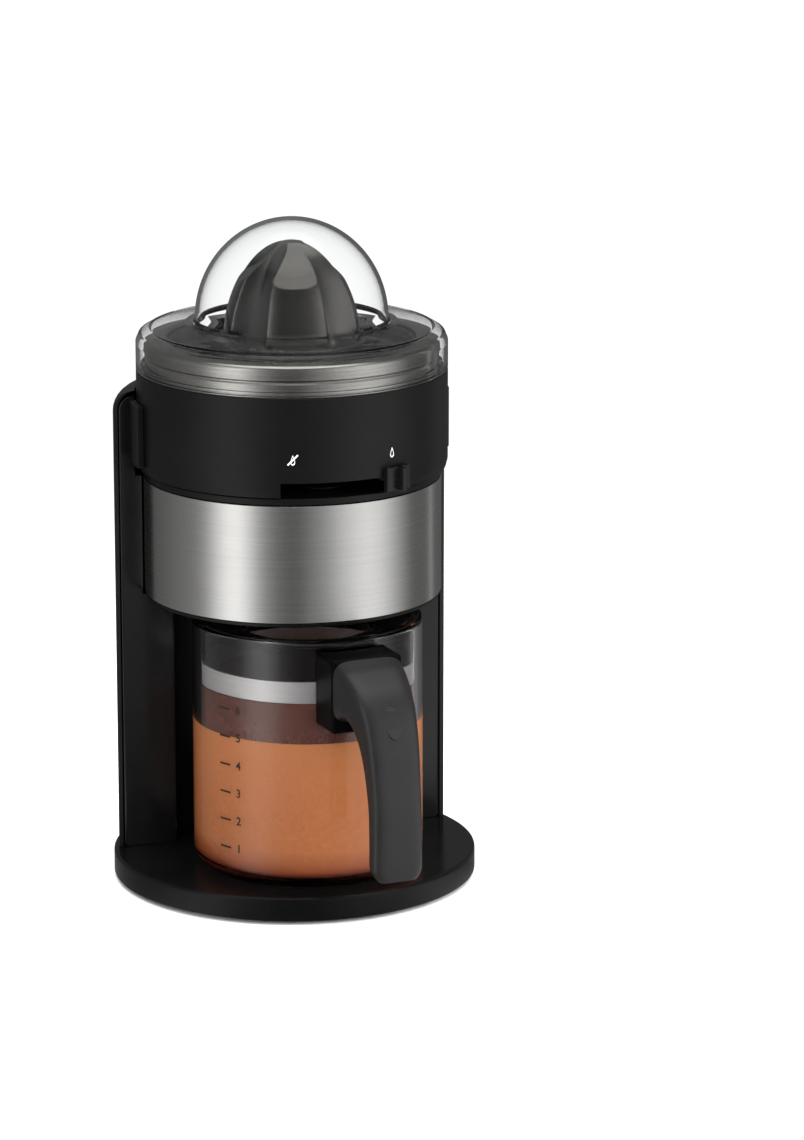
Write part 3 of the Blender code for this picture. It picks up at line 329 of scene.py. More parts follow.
COLUMN_LOW = low_of("column_front")
COLUMN_TOP = high_of("rear_cover")
PANEL_TOP = high_of("column_front")
WING_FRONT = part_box("column_front")[0].y / MM - PRESS_Y
SHELL_R = radius_of("rear_cover")
SHELL_WALL = 2.5
TOP_ROUND = 10.0
RECESS_R = 62.5
BAND_POCKET = radius_of("motor_band") + 0.8
RING_POCKET = radius_of("dust_cover") + 0.9
SHELF = low_of("housing_body") - 1.2
UPPER_STEP = high_of("motor_band") - 0.5
EDGE = 1.0


def horseshoe(outer, inner, front, height, count=72, corner=1.1):
    """One level of the upright: an arc of the outer radius and one of the inner radius, both cut
    off at the plane y = front, with the four corners softened. Angles start at asin(front / radius)."""
    outer_start, inner_start = math.asin(front / outer), math.asin(front / inner)
    a = np.linspace(outer_start, math.pi - outer_start, count)
    b = np.linspace(math.pi - inner_start, inner_start, count)
    plan = np.concatenate([
        np.stack([outer * np.cos(a), outer * np.sin(a)], axis=1),
        np.stack([inner * np.cos(b), inner * np.sin(b)], axis=1),
    ])
    radii = np.zeros(2 * count)
    radii[[0, count - 1, count, 2 * count - 1]] = corner
    plan = softened(plan, radii)
    return np.column_stack([plan, np.full(len(plan), height)])


def top_corner(radius, top, reach, steps=8):
    """(radius, height) pairs of a quarter round that closes an upright wall at its top."""
    a = np.linspace(0, math.pi / 2, steps + 1)
    return [(radius - reach + reach * math.cos(t), top - reach + reach * math.sin(t)) for t in a]


levels = [(SHELL_R - 2.9 - EDGE, RECESS_R + EDGE, COLUMN_LOW), (SHELL_R - 2.9, RECESS_R, COLUMN_LOW + EDGE)]
levels += [(SHELL_R - 2.9, RECESS_R, z) for z in (COLUMN_LOW + 2, SHELF - 1.5)]
levels += [(SHELL_R - 2.9, RECESS_R, SHELF - EDGE), (SHELL_R - 2.9, RECESS_R + 0.3, SHELF - 0.3),
           (SHELL_R - 2.9, RECESS_R + EDGE, SHELF), (SHELL_R - 2.9, BAND_POCKET - 0.4, SHELF),
           (SHELL_R - 2.9, BAND_POCKET, SHELF + 0.4)]
levels += [(SHELL_R - 2.9, BAND_POCKET, UPPER_STEP - 0.5), (SHELL_R - 2.9, RING_POCKET, UPPER_STEP)]
levels += [(r, RING_POCKET, z) for r, z in top_corner(SHELL_R - 2.9, PANEL_TOP, TOP_ROUND - 2.9)]
panel_black = plastic("panel_black", (0.0035, 0.0035, 0.004), (0.005, 0.005, 0.0055), (0.16, 0.24),
                      grain=(800.0, 0.03), Specular_IOR_Level=0.3, Coat_Weight=0.1, Coat_Roughness=0.06)
panel = stacked([horseshoe(r, i, WING_FRONT, z) for r, i, z in levels])
fitted(solid("upright_panel", panel), panel_black, "stand", "gloss_black", "column_front")


def carved(piece, *tools):
    """The piece with each closed tool cut out of it by an exact Boolean; the tools are removed."""
    for tool in tools:
        step = piece.modifiers.new("cut", "BOOLEAN")
        step.operation = "DIFFERENCE"
        step.solver = "EXACT"
        step.object = tool
    bpy.context.view_layer.update()
    graph = bpy.context.evaluated_depsgraph_get()
    mesh = bpy.data.meshes.new_from_object(piece.evaluated_get(graph))
    piece.modifiers.clear()
    piece.data = mesh
    for tool in tools:
        bpy.data.objects.remove(tool)
    shaded(mesh)
    return piece


def drawn_up(outline, low, high, soft=0.0, steps=4):
    """A closed (x, y) outline, taken anticlockwise, drawn up from low to high. With soft, its two
    rims are quarter rounds: inset = soft (1 - sin a), height = end +- soft (1 - cos a)."""
    outline = np.asarray(outline, float)
    along = np.roll(outline, -1, axis=0) - np.roll(outline, 1, axis=0)
    along /= np.linalg.norm(along, axis=1)[:, None]
    inward = np.stack([-along[:, 1], along[:, 0]], axis=1)
    a = np.linspace(0, math.pi / 2, steps + 1)
    inset = np.concatenate([[soft + 0.25], soft * (1 - np.sin(a)), [0.0]]) if soft else np.zeros(1)
    rise = np.concatenate([[0.0], soft * (1 - np.cos(a)), [soft + 0.3]]) if soft else np.zeros(1)
    inset = np.concatenate([inset, inset[::-1]])
    height = np.concatenate([low + rise, (high - rise)[::-1]])
    plan = outline[None] + inward[None] * inset[:, None, None]
    level = np.broadcast_to(height[:, None, None], plan.shape[:2] + (1,))
    return stacked(np.concatenate([plan, level], axis=2))


def box_outline(x_range, y_range, corner=0.0, steps=4):
    """A rectangle counterclockwise from its low corner, rounded where a corner radius is given."""
    (x0, x1), (y0, y1) = x_range, y_range
    corners = [(x0, y0), (x1, y0), (x1, y1), (x0, y1)]
    return softened(corners, corner, steps) if corner else np.array(corners, float)


def laid_along(shape, direction, height):
    """A shape made about Z, laid down so that its axis runs level, outwards along +Y or -Y."""
    points, faces = shape
    x, y, z = np.asarray(points, float).T
    return np.stack([x * direction, z * direction, y + height], axis=1), faces


VENTS = 6
VENT_LOW = 166.0
VENT_PITCH = 7.0
VENT_TALL = 2.6
GLAND_HEIGHT = (low_of("cord_gland") + high_of("cord_gland")) / 2
GLAND_HOLE = 5.3
SCREW_HEIGHTS = [(low_of(name) + high_of(name)) / 2 for name in ("rear_cover_screw_1", "rear_cover_screw_2")]
SCREW_HOLE = 1.9

levels = [(SHELL_R, SHELL_R - SHELL_WALL, COLUMN_LOW)]
levels += [(SHELL_R, SHELL_R - SHELL_WALL, z) for z in (COLUMN_LOW + 0.6, COLUMN_TOP - TOP_ROUND - 0.5)]
levels += [(r, max(r - SHELL_WALL, RING_POCKET), min(z, COLUMN_TOP))
           for r, z in top_corner(SHELL_R, COLUMN_TOP, TOP_ROUND)]
shell_satin = plastic("shell_satin", (0.006, 0.006, 0.006), (0.009, 0.0088, 0.0088), (0.36, 0.50),
                      grain=(1900.0, 0.22), Specular_IOR_Level=0.3)
shell = solid("upright_shell",
              stacked([horseshoe(r, i, WING_FRONT + 0.2, z, corner=0.5) for r, i, z in levels]))
tools = []
for i in range(VENTS):
    low = VENT_LOW + VENT_PITCH * i
    slot_outline = box_outline((-20, 20), (SHELL_R - 8, SHELL_R + 5))
    tools.append(solid("vent_tool", drawn_up(slot_outline, low, low + VENT_TALL)))
hole = [(0, SHELL_R - 9), (GLAND_HOLE, SHELL_R - 9), (GLAND_HOLE, SHELL_R + 5), (0, SHELL_R + 5)]
tools.append(solid("gland_tool", laid_along(turned(hole, 32), 1, GLAND_HEIGHT)))
for height in SCREW_HEIGHTS:
    hole = [(0, SHELL_R - 9), (SCREW_HOLE, SHELL_R - 9), (SCREW_HOLE, SHELL_R + 5), (0, SHELL_R + 5)]
    tools.append(solid("screw_tool", laid_along(turned(hole, 24), 1, height)))
carved(shell, *tools)
fitted(shell, shell_satin, "stand", "satin_black", "rear_cover")

# Rubber bush that guards the cord where it enters the shell.
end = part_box("cord_gland")[1].y / MM - PRESS_Y
profile = softened(
    [(3.2, end), (7.5, end), (7.5, SHELL_R + 0.3), (5.0, SHELL_R + 0.3), (5.0, SHELL_R - 7),
     (3.2, SHELL_R - 7)],
    [0.6, 1.2, 0.3, 0.2, 0.3, 0.3],
)
bush = solid("cord_bush", laid_along(turned(profile, 48), 1, GLAND_HEIGHT))
fitted(bush, foot_rubber, "stand", "rubber", "cord_gland")

# Pan-head screws with a cross recess.
for number, height in enumerate(SCREW_HEIGHTS, 1):
    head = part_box("rear_cover_screw_%d" % number)[1].y / MM - PRESS_Y
    profile = softened(
        [(0, head), (3.2, head - 0.3), (3.2, SHELL_R + 0.3), (1.5, SHELL_R + 0.3), (1.5, SHELL_R - 7),
         (0, SHELL_R - 7)],
        [0, 0.5, 0.1, 0.1, 0.2, 0],
    )
    screw = solid("rear_screw_%d" % number, laid_along(turned(profile, 40), 1, height))
    cross = [
        solid("cross_tool", drawn_up(box_outline((-w, w), (head - 0.8, head + 1)), height - h, height + h))
        for w, h in ((1.8, 0.35), (0.35, 1.8))
    ]
    carved(screw, *cross)
    fitted(screw, turned_steel, "stand", "bright_steel", "rear_cover_screw_%d" % number)

# ---- motor drum ------------------------------------------------------------------------------
# Satin black drum with a brushed stainless sleeve pressed over it; the deck on top carries the
# boss that the drive spindle runs in.

BAND_R = radius_of("motor_band")
BAND_LOW = low_of("motor_band")
BAND_TOP = high_of("motor_band")
DRUM_LOW = low_of("housing_body")
DRUM_IN = 73.5
DRUM_R = 76.0

satin = plastic("satin", (0.003, 0.0029, 0.0029), (0.004, 0.0039, 0.0039), (0.34, 0.42),
                grain=(2400.0, 0.10), patch=14.0, Specular_IOR_Level=0.22)
profile = softened(
    [(DRUM_R, BAND_TOP), (DRUM_R, BAND_LOW - 0.3), (BAND_R - 0.3, BAND_LOW - 0.3), (BAND_R - 0.9, DRUM_LOW),
     (DRUM_IN, DRUM_LOW), (DRUM_IN, BAND_TOP)],
    [0.2, 0.1, 0.4, 0.8, 0.5, 0.2],
)
fitted(solid("drum_wall", turned(profile, 160)), satin, "stand", "satin_black", "housing_body")

# Brushing runs round the drum: streaks that are long in plan and hair-thin in height.
brushing, take, give = effect(
    "brushed_round",
    [("Dark", COLOUR, (0.4, 0.4, 0.4, 1.0)), ("Light", COLOUR, (0.7, 0.7, 0.7, 1.0)),
     ("Streak length", FLOAT, 12.0),
     ("Streaks", FLOAT, 5200.0), ("Gloss low", FLOAT, 0.2), ("Gloss high", FLOAT, 0.4),
     ("Depth", FLOAT, 0.1)],
    [("Colour", COLOUR), ("Roughness", FLOAT), ("Normal", VECTOR)],
)
place = node(brushing, "ShaderNodeTexCoord").outputs["Object"]
scale = node(brushing, "ShaderNodeCombineXYZ")
wire(brushing, take["Streak length"], scale.inputs[0])
wire(brushing, take["Streak length"], scale.inputs[1])
wire(brushing, take["Streaks"], scale.inputs[2])
drawn = node(brushing, "ShaderNodeVectorMath", operation="MULTIPLY")
wire(brushing, place, drawn.inputs[0])
wire(brushing, scale.outputs[0], drawn.inputs[1])
streaks = cloud(brushing, drawn.outputs[0], 1.0, 3.0, 0.6)
smears = cloud(brushing, place, 30.0, 3.0, 0.6)
wire(brushing,
     blended(brushing, spread(brushing, streaks, 0.32, 0.68, 0.0, 1.0), take["Dark"], take["Light"]),
     give["Colour"])
gloss = spread(brushing, streaks, 0.3, 0.7, take["Gloss low"], take["Gloss high"])
greasy = spread(brushing, smears, 0.5, 0.75, 0.0, 0.06)
total = node(brushing, "ShaderNodeMath", operation="ADD")
wire(brushing, gloss, total.inputs[0])
wire(brushing, greasy, total.inputs[1])
wire(brushing, total.outputs[0], give["Roughness"])
wire(brushing, bumped(brushing, streaks, take["Depth"], 0.00005), give["Normal"])


def brushed(name, dark, light, gloss, streaks=5200.0, depth=0.1, **plain):
    """Stainless sheet brushed round the machine's axis."""
    made, tree, shader = new_material(name, Metallic=1.0, **plain)
    skin = node(tree, "ShaderNodeGroup", node_tree=brushing)
    values = ((*dark, 1.0), (*light, 1.0), 14.0, streaks, gloss[0], gloss[1], depth)
    for socket, value in zip(skin.inputs, values):
        socket.default_value = value
    wire(tree, skin.outputs["Colour"], shader.inputs["Base Color"])
    wire(tree, skin.outputs["Roughness"], shader.inputs["Roughness"])
    wire(tree, skin.outputs["Normal"], shader.inputs["Normal"])
    return made


sleeve_steel = brushed("sleeve_steel", (0.54, 0.535, 0.52), (0.63, 0.625, 0.61), (0.24, 0.31), depth=0.05,
                       Anisotropic=0.75, Anisotropic_Rotation=0.25)
profile = softened(
    [(BAND_R, BAND_TOP), (BAND_R, BAND_LOW), (BAND_R - 0.9, BAND_LOW), (BAND_R - 0.9, BAND_TOP)],
    [0.35, 0.35, 0.1, 0.1],
)
fitted(solid("steel_sleeve", turned(profile, 256)), sleeve_steel, "stand", "brushed_steel", "motor_band")

DECK_LOW = low_of("upper_deck")
DECK_TOP = DECK_LOW + 3.5
BOSS_TOP = high_of("upper_deck")
BOSS_R, BOSS_IN = 9.8, 6.8
OUTLET_Y = -48.0
DUCT_R, DUCT_IN = 9.4, 7.4
profile = softened(
    [(BOSS_R, DECK_TOP), (BAND_R, DECK_TOP), (BAND_R, DECK_LOW), (BOSS_IN, DECK_LOW), (BOSS_IN, BOSS_TOP),
     (BOSS_R, BOSS_TOP)],
    [2.0, 0.9, 0.3, 0.3, 0.4, 0.8],
)
deck = solid("drum_deck", turned(profile, 160))
a = np.linspace(0, math.tau, 48, endpoint=False)
bore = np.stack([(DUCT_R + 0.3) * np.cos(a), OUTLET_Y + (DUCT_R + 0.3) * np.sin(a)], axis=1)
hole = solid("duct_tool", drawn_up(bore, DECK_LOW - 2, DECK_TOP + 2))
carved(deck, hole)
fitted(deck, satin, "stand", "satin_black", "upper_deck")

DUCT_LOW = low_of("juice_duct")
profile = softened(
    [(DUCT_IN, DUCT_LOW), (DUCT_R, DUCT_LOW), (DUCT_R, DECK_TOP + 0.3), (DUCT_R + 3, DECK_TOP + 0.3),
     (DUCT_R + 3, DECK_TOP + 1.5), (DUCT_IN, DECK_TOP + 1.2)],
    [0.5, 0.7, 0.2, 0.3, 0.6, 0.8],
)
fitted(solid("juice_spout", turned(profile, 64), at=(0, OUTLET_Y)), satin, "stand", "satin_black",
       "juice_duct")
kept(underside_black, "housing_floor")

# ---- drive inside the drum -------------------------------------------------------------------
# Motor, two-stage nylon gears on a steel plate, and the hexagon spindle on its sprung pad.

nylon = plastic("nylon", (0.66, 0.64, 0.58), (0.74, 0.72, 0.68), (0.35, 0.5), grain=(1500.0, 0.1))
kept(nylon, "motor_end_plate", "motor_pinion", "compound_gear", "output_gear", "thrust_cap", "spindle_bush",
     "cone_insert", "gate_retainer")
kept(turned_steel, "motor_can", "motor_rotor", "gear_axle", "drive_spindle", "return_spring")
kept(foot_rubber, "spindle_seal")
kept(underside_black, "micro_switch")
switch_red = plastic("switch_red", (0.42, 0.05, 0.03), (0.36, 0.04, 0.025), (0.25, 0.35))
kept(switch_red, "switch_button")
plate_steel = brushed("plate_steel", (0.42, 0.42, 0.41), (0.60, 0.60, 0.58), (0.3, 0.45), streaks=900.0)
kept(plate_steel, "gearbox_plate")

# ---- juice ring ------------------------------------------------------------------------------
# Satin black moulded ring with the bowl floor inside it, a chimney for the spindle, an outlet
# and the slot that the drip-stop lever moves in. Two lugs at its sides lift it off.

RING_R = radius_of("dust_cover")
RING_IN = RING_R - 2.5
RING_LOW = low_of("reservoir")
RING_TOP = low_of("dust_cover") + 2.8 - 0.3
CHIMNEY_TOP = high_of("reservoir")
FLOOR_LOW = RING_LOW + 7.6
FLOOR_TOP = FLOOR_LOW + 2.5
CHIMNEY_R, CHIMNEY_IN = 13.5, 11.5
LEDGE_TOP = RING_TOP - 13.0
LEDGE_LOW = LEDGE_TOP - 1.6
LEDGE_IN = RING_IN - 4.0
OUTLET_R = 7.0
SLOT_FROM, SLOT_TO = -21.0, 29.0


def wedge(inner, outer, start, end, steps=24):
    """Plan outline between two radii and two directions, in degrees from the front towards +X."""
    a = np.radians(np.linspace(start, end, steps) - 90.0)
    out = np.stack([outer * np.cos(a), outer * np.sin(a)], axis=1)
    back = np.stack([inner * np.cos(a[::-1]), inner * np.sin(a[::-1])], axis=1)
    return np.concatenate([out, back])


profile = softened(
    [(RING_R, RING_TOP), (RING_R, RING_LOW + 4), (RING_R - 1.0, RING_LOW), (RING_IN, RING_LOW),
     (RING_IN, FLOOR_LOW), (CHIMNEY_R, FLOOR_LOW), (CHIMNEY_R, RING_LOW + 1.6), (CHIMNEY_IN, RING_LOW + 1.6),
     (CHIMNEY_IN, CHIMNEY_TOP),
     (CHIMNEY_R, CHIMNEY_TOP), (CHIMNEY_R, FLOOR_TOP), (RING_IN - 6, FLOOR_TOP), (RING_IN, FLOOR_TOP + 4),
     (RING_IN, LEDGE_LOW - 2), (LEDGE_IN, LEDGE_LOW), (LEDGE_IN, LEDGE_TOP), (RING_IN, LEDGE_TOP),
     (RING_IN, RING_TOP)],
    [1.0, 3.0, 0.8, 0.3, 0.5, 0.5, 0.3, 0.3, 0.5, 0.5, 1.5, 2.0, 2.0, 0.5, 0.4, 0.4, 0.3, 0.3],
)
ring = solid("juice_ring", turned(profile, 192))
a = np.linspace(0, math.tau, 48, endpoint=False)
outlet = np.stack([OUTLET_R * np.cos(a), OUTLET_Y + OUTLET_R * np.sin(a)], axis=1)
carved(
    ring,
    solid("outlet_tool", drawn_up(outlet, FLOOR_LOW - 1, FLOOR_TOP + 1)),
    solid("slot_tool",
          drawn_up(wedge(RING_IN - 1, RING_R + 4, SLOT_FROM, SLOT_TO), RING_LOW - 1, FLOOR_LOW + 0.3)),
)
fitted(ring, satin, "reservoir", "satin_black", "reservoir")

LUG_R = RING_R + 3.8
for side, sign in (("left", -1), ("right", 1)):
    name = "reservoir_lug_" + side
    start, end = (87.0, 99.0) if sign > 0 else (-99.0, -87.0)
    corners = wedge(RING_R + 0.3, LUG_R, start, end, 9)
    radii = np.zeros(len(corners))
    radii[[0, 8]] = 1.6
    outline = softened(corners, radii, 4)
    lug = solid("ring_lug_" + side, drawn_up(outline, low_of(name), high_of(name), soft=0.9))
    fitted(lug, satin, "reservoir", "satin_black", name)

# Valve plate coloured near black, painted shade where it shows in the slot, and the ribbed thumb knob clipped
# on its lever.
GATE_LOW, GATE_TOP = low_of("drip_stop_gate"), high_of("drip_stop_gate")
HUB_IN, HUB_R = 14.0, 19.5
LEVER_AT = 23.5
hub = [(HUB_IN, GATE_LOW), (HUB_R, GATE_LOW), (HUB_R, GATE_TOP), (HUB_IN, GATE_TOP)]
valve = solid("valve_plate", turned(softened(hub, 0.3, 2), 96))
pad = solid("pad_tool", drawn_up(wedge(38.0, 58.0, -12.0, 50.0), GATE_LOW, GATE_TOP))
lever = solid("lever_tool",
              drawn_up(box_outline((-4.5, 4.5), (-(RING_R + 2.2), -(HUB_R - 3))), GATE_LOW, GATE_TOP),
              turn=math.radians(LEVER_AT))
for shape in (pad, lever):
    step = valve.modifiers.new("join", "BOOLEAN")
    step.operation = "UNION"
    step.solver = "EXACT"
    step.object = shape
carved(valve, solid("hole_tool", drawn_up(outlet, GATE_LOW - 1, GATE_TOP + 1)))
for shape in (pad, lever):
    bpy.data.objects.remove(shape)
# Near-black colour on the valve plate: painted shade in the slot.
valve_painted_dark = plastic("valve_painted_dark", (0.012, 0.012, 0.012), (0.017, 0.017, 0.017), (0.3, 0.4))
fitted(valve, valve_painted_dark, "drip_stop", "charcoal", "drip_stop_gate")

KNOB_LOW, KNOB_TOP = low_of("drip_stop_knob"), high_of("drip_stop_knob")
KNOB_OUT = RING_R + 3.6
half = math.degrees(7.5 / RING_R)
corners = wedge(RING_R + 0.5, KNOB_OUT, -half, half, 9)
radii = np.zeros(len(corners))
radii[[0, 8]] = 1.2
knob_body = drawn_up(softened(corners, radii, 4), KNOB_LOW, KNOB_TOP, soft=0.7)
fin = drawn_up(box_outline((-1.3, 1.3), (-(KNOB_OUT + 4.4), -(KNOB_OUT - 1)), 0.7), KNOB_LOW, KNOB_TOP,
               soft=0.5)
knob = solid("lever_knob", knob_body, turn=math.radians(LEVER_AT))
fin = solid("fin_tool", fin, turn=math.radians(LEVER_AT))
step = knob.modifiers.new("join", "BOOLEAN")
step.operation = "UNION"
step.solver = "EXACT"
step.object = fin
socket = drawn_up(box_outline((-4.8, 4.8), (-(RING_R + 2.5), -(RING_R - 0.5))), GATE_LOW - 0.3,
                  GATE_TOP + 0.3)
carved(knob, solid("socket_tool", socket, turn=math.radians(LEVER_AT)))
bpy.data.objects.remove(fin)
knob_black = plastic("knob_black", (0.005, 0.005, 0.005), (0.007, 0.007, 0.007), (0.22, 0.32),
                     grain=(2600.0, 0.12), Specular_IOR_Level=0.3)
fitted(knob, knob_black, "drip_stop", "satin_black", "drip_stop_knob")

# Two drop signs printed beside the lever's ends: a plain drop for running, a struck-out drop
# for stopped. Off-white ink, a hair proud of the ring.
INK = 0.12
MARK_HEIGHT = 240.6
DROP_TALL = 5.4


def drop_outline(count=40):
    """A drop: x = 0.62 sin t (sin(t/2))^1.6, y = cos t, for t over one turn, point upwards."""
    t = np.linspace(0, math.tau, count, endpoint=False)
    return np.stack([0.62 * np.sin(t) * np.abs(np.sin(t / 2)) ** 1.6, np.cos(t)], axis=1)


def wrapped(shape, radius, aim):
    """Bends a flat shape drawn in x and y, with its thickness in z, round a cylinder: the direction
    is aim + x / radius from the front towards +X, the reach is radius + z and the height is y."""
    points, faces = shape
    x, y, z = np.asarray(points, float).T
    a = np.radians(aim - 90.0) + x / radius
    return np.stack([(radius + z) * np.cos(a), (radius + z) * np.sin(a), y], axis=1), faces


def outlined(outer, inner, low, high):
    """A flat ring between two outlines of the same count, as a closed solid."""
    loops = [np.column_stack([line, np.full(len(line), z)]) for line, z in
             ((outer, low), (outer, high), (inner, high), (inner, low))]
    return np.concatenate(loops), grid_quads(4, len(outer))


ink, tree, shader = new_material("print_ink")
place = node(tree, "ShaderNodeTexCoord").outputs["Object"]
worn = cloud(tree, place, 2600.0, 3.0)
wire(tree, blended(tree, worn, (0.62, 0.61, 0.59), (0.80, 0.79, 0.77)), shader.inputs["Base Color"])
wire(tree, spread(tree, worn, 0.3, 0.7, 0.45, 0.65), shader.inputs["Roughness"])

outer = drop_outline() * DROP_TALL / 2
for name, aim in (("drop_sign_run", 22.0), ("drop_sign_stop", -16.5)):
    at = np.array([0.0, MARK_HEIGHT])
    shape = outlined(outer + at, outer * 0.70 - [0, 0.12] + at, 0.02, INK)
    piece = solid(name, wrapped(shape, RING_R, aim))
    fitted(piece, ink, "reservoir", "satin_black")
bar = np.array([(-2.9, -2.3), (-2.3, -2.9), (2.9, 2.3), (2.3, 2.9)]) + [0, MARK_HEIGHT]
bar = np.stack([bar[0] + (bar[3] - bar[0]) * s for s in np.linspace(0, 1, 9)] +
               [bar[2] + (bar[1] - bar[2]) * s for s in np.linspace(0, 1, 9)])
stroke = solid("drop_sign_stroke", wrapped(drawn_up(bar[::-1], 0.03, INK + 0.03), RING_R, -16.5))
fitted(stroke, ink, "reservoir", "satin_black")

# ---- strainer --------------------------------------------------------------------------------
# Pressed stainless collar that hangs in the ring, and the dark slotted floor held in its rim.

COLLAR_R = radius_of("strainer_collar")
COLLAR_LOW = low_of("strainer_collar")
COLLAR_TOP = COLLAR_LOW + 25.2
GROOVE = COLLAR_TOP - 5.5
BASKET_R = 63.5
STEEL = 1.2
# The collar's steel is coloured darker than steel: painted shade for the collar under the clear cover and the
# cone.
shaded_collar_steel = brushed("shaded_collar_steel", (0.36, 0.35, 0.33), (0.43, 0.42, 0.40), (0.17, 0.22), streaks=2600.0,
                       depth=0.008, Anisotropic=0.5, Anisotropic_Rotation=0.25)
profile = softened(
    [(COLLAR_R, COLLAR_LOW), (COLLAR_R, GROOVE - 1.2), (COLLAR_R - 0.8, GROOVE), (COLLAR_R, GROOVE + 1.2),
     (COLLAR_R, COLLAR_TOP + 2.4), (BASKET_R + 2.2, COLLAR_TOP + 4.0), (BASKET_R + 0.6, COLLAR_TOP + 3.0),
     (BASKET_R + 0.6, COLLAR_TOP + 1.8), (BASKET_R + 2.2, COLLAR_TOP + 2.4),
     (COLLAR_R - STEEL, COLLAR_TOP + 1.0),
     (COLLAR_R - STEEL, COLLAR_LOW + 2), (COLLAR_R - 4.2, COLLAR_LOW + 1.4), (COLLAR_R - 4.2, COLLAR_LOW)],
    [0.4, 0.6, 0.5, 0.6, 4.0, 0.8, 0.3, 0.3, 0.3, 2.6, 0.5, 0.2, 0.3],
    8,
)
fitted(solid("strainer_rim", turned(profile, 224)), shaded_collar_steel, "strainer", "brushed_steel",
       "strainer_collar")

BASKET_FLOOR = RING_TOP + 7.0
BASKET_TOP = high_of("strainer_basket")
BASKET_HUB = CHIMNEY_R + 1.2
charcoal = plastic("charcoal", (0.016, 0.016, 0.0165), (0.022, 0.022, 0.0225), (0.20, 0.30),
                   grain=(1500.0, 0.05), Specular_IOR_Level=0.35)
profile = softened(
    [(BASKET_R + 3.5, BASKET_TOP), (BASKET_R + 3.5, BASKET_TOP - 1.6), (BASKET_R, BASKET_FLOOR - 3),
     (BASKET_HUB + 2, BASKET_FLOOR - 2), (BASKET_HUB, BASKET_FLOOR - 2), (BASKET_HUB, BASKET_FLOOR + 1.5),
     (BASKET_HUB + 2, BASKET_FLOOR + 1.5), (BASKET_HUB + 2, BASKET_FLOOR), (BASKET_R - 4, BASKET_FLOOR - 1),
     (BASKET_R - 1, BASKET_TOP)],
    [0.3, 0.4, 1.2, 0.3, 0.3, 0.4, 0.5, 0.5, 1.5, 0.8],
)
basket = solid("strainer_floor", turned(profile, 160))
tools = []
SLOT_ROWS = 24
for i in range(SLOT_ROWS):
    turn = 360.0 * i / SLOT_ROWS + 90.0
    outline = wedge(BASKET_HUB + 12, BASKET_R - 9, turn - 3.6, turn + 3.6, 6)
    tools.append(solid("slot_tool", drawn_up(outline, BASKET_FLOOR - 6, BASKET_FLOOR + 4)))
carved(basket, *tools)
fitted(basket, charcoal, "strainer", "charcoal", "strainer_basket")

# ---- squeezing cone --------------------------------------------------------------------------
# Charcoal cone moulded with four full-height blades; beside each blade stands a shorter rib whose
# top is cut to a sloping facet. A ring with two paddles under it sweeps the pulp round.

CONE_LOW = low_of("reamer_cone")
CONE_TOP = high_of("reamer_cone")
CONE_TALL = CONE_TOP - CONE_LOW
CONE_R = 36.5
CONE_BLUNT = 1.84
BLADES = 4
BLADE_AT = -21.0 - 16.6
RIB_WIDE = 51.0
FACET_FROM = 0.60
FACET_SLOPE = 1.12
CONE_ROWS, CONE_COLUMNS = 150, 360


def smooth_least(first, second, width):
    """Least of two arrays with a rounded meeting: -w log(exp(-a/w) + exp(-b/w))."""
    return -width * np.logaddexp(-first / width, -second / width)


def cone_surface():
    """Ribbed cone. At a share s of the height the round outline has the radius R sqrt(1 - s^1.84). In each
    quarter turn, at u degrees past a blade, the valley's radius is less by a sunk share that is 0 at both
    blades; ribs fill u < RIB_WIDE back out to the outline, up to a flat facet that leans inwards."""
    share = np.sin(np.linspace(0, math.pi / 2, CONE_ROWS)) ** 1.15 * 0.9995
    turn = np.linspace(0, 360, CONE_COLUMNS, endpoint=False)
    s, a = np.meshgrid(share, turn, indexing="ij")
    outline = CONE_R * np.sqrt(1.0 - s**CONE_BLUNT)
    past = (a - (BLADE_AT - 90.0)) % (360.0 / BLADES)
    period = 360.0 / BLADES
    rise = np.clip(past / 9.0, 0, 1) ** 0.6
    fall = np.clip((period - past) / 34.0, 0, 1) ** 0.8
    sunk = 0.36 * rise * fall * np.clip(s / 0.10, 0, 1) ** 0.5 * (0.55 + 0.45 * np.clip(s / 0.5, 0, 1))
    valley = outline * (1.0 - sunk)
    middle = RIB_WIDE / 2
    hollow = 0.035 * np.sin(np.clip(past / RIB_WIDE, 0, 1) * math.pi) ** 2
    rib = outline * (1.0 - hollow) - 60.0 * np.clip((past - RIB_WIDE) / period, 0, 1)
    facet_r = CONE_R * math.sqrt(1.0 - FACET_FROM**CONE_BLUNT) * 0.97
    facet = (facet_r - FACET_SLOPE * CONE_TALL * (s - FACET_FROM)) / np.cos(np.radians(past - middle))
    rib = smooth_least(rib, np.maximum(facet, 0.5), 0.18)
    radius = -smooth_least(-valley, -rib, 0.12)
    radius = np.minimum(radius, outline)
    b = np.radians(a)
    height = CONE_LOW + CONE_TALL * s
    rings = np.stack([radius * np.cos(b), radius * np.sin(b), height], axis=-1)
    inner = np.stack([0.6 * rings[..., 0], 0.6 * rings[..., 1], CONE_LOW + 0.78 * (height - CONE_LOW)],
                     axis=-1)[::6]
    return np.concatenate([inner[::-1], rings[:1], rings])


cone = cone_surface()
rows, columns = cone.shape[:2]
cone_black = plastic("cone_black", (0.005, 0.005, 0.005), (0.007, 0.0069, 0.0067), (0.10, 0.15),
                     grain=(1400.0, 0.03), Specular_IOR_Level=1.0, Specular_Tint=(1.0, 0.97, 0.92, 1.0))
fitted(solid("squeezing_cone", stacked(cone)), cone_black, "reamer", "charcoal", "reamer_cone")

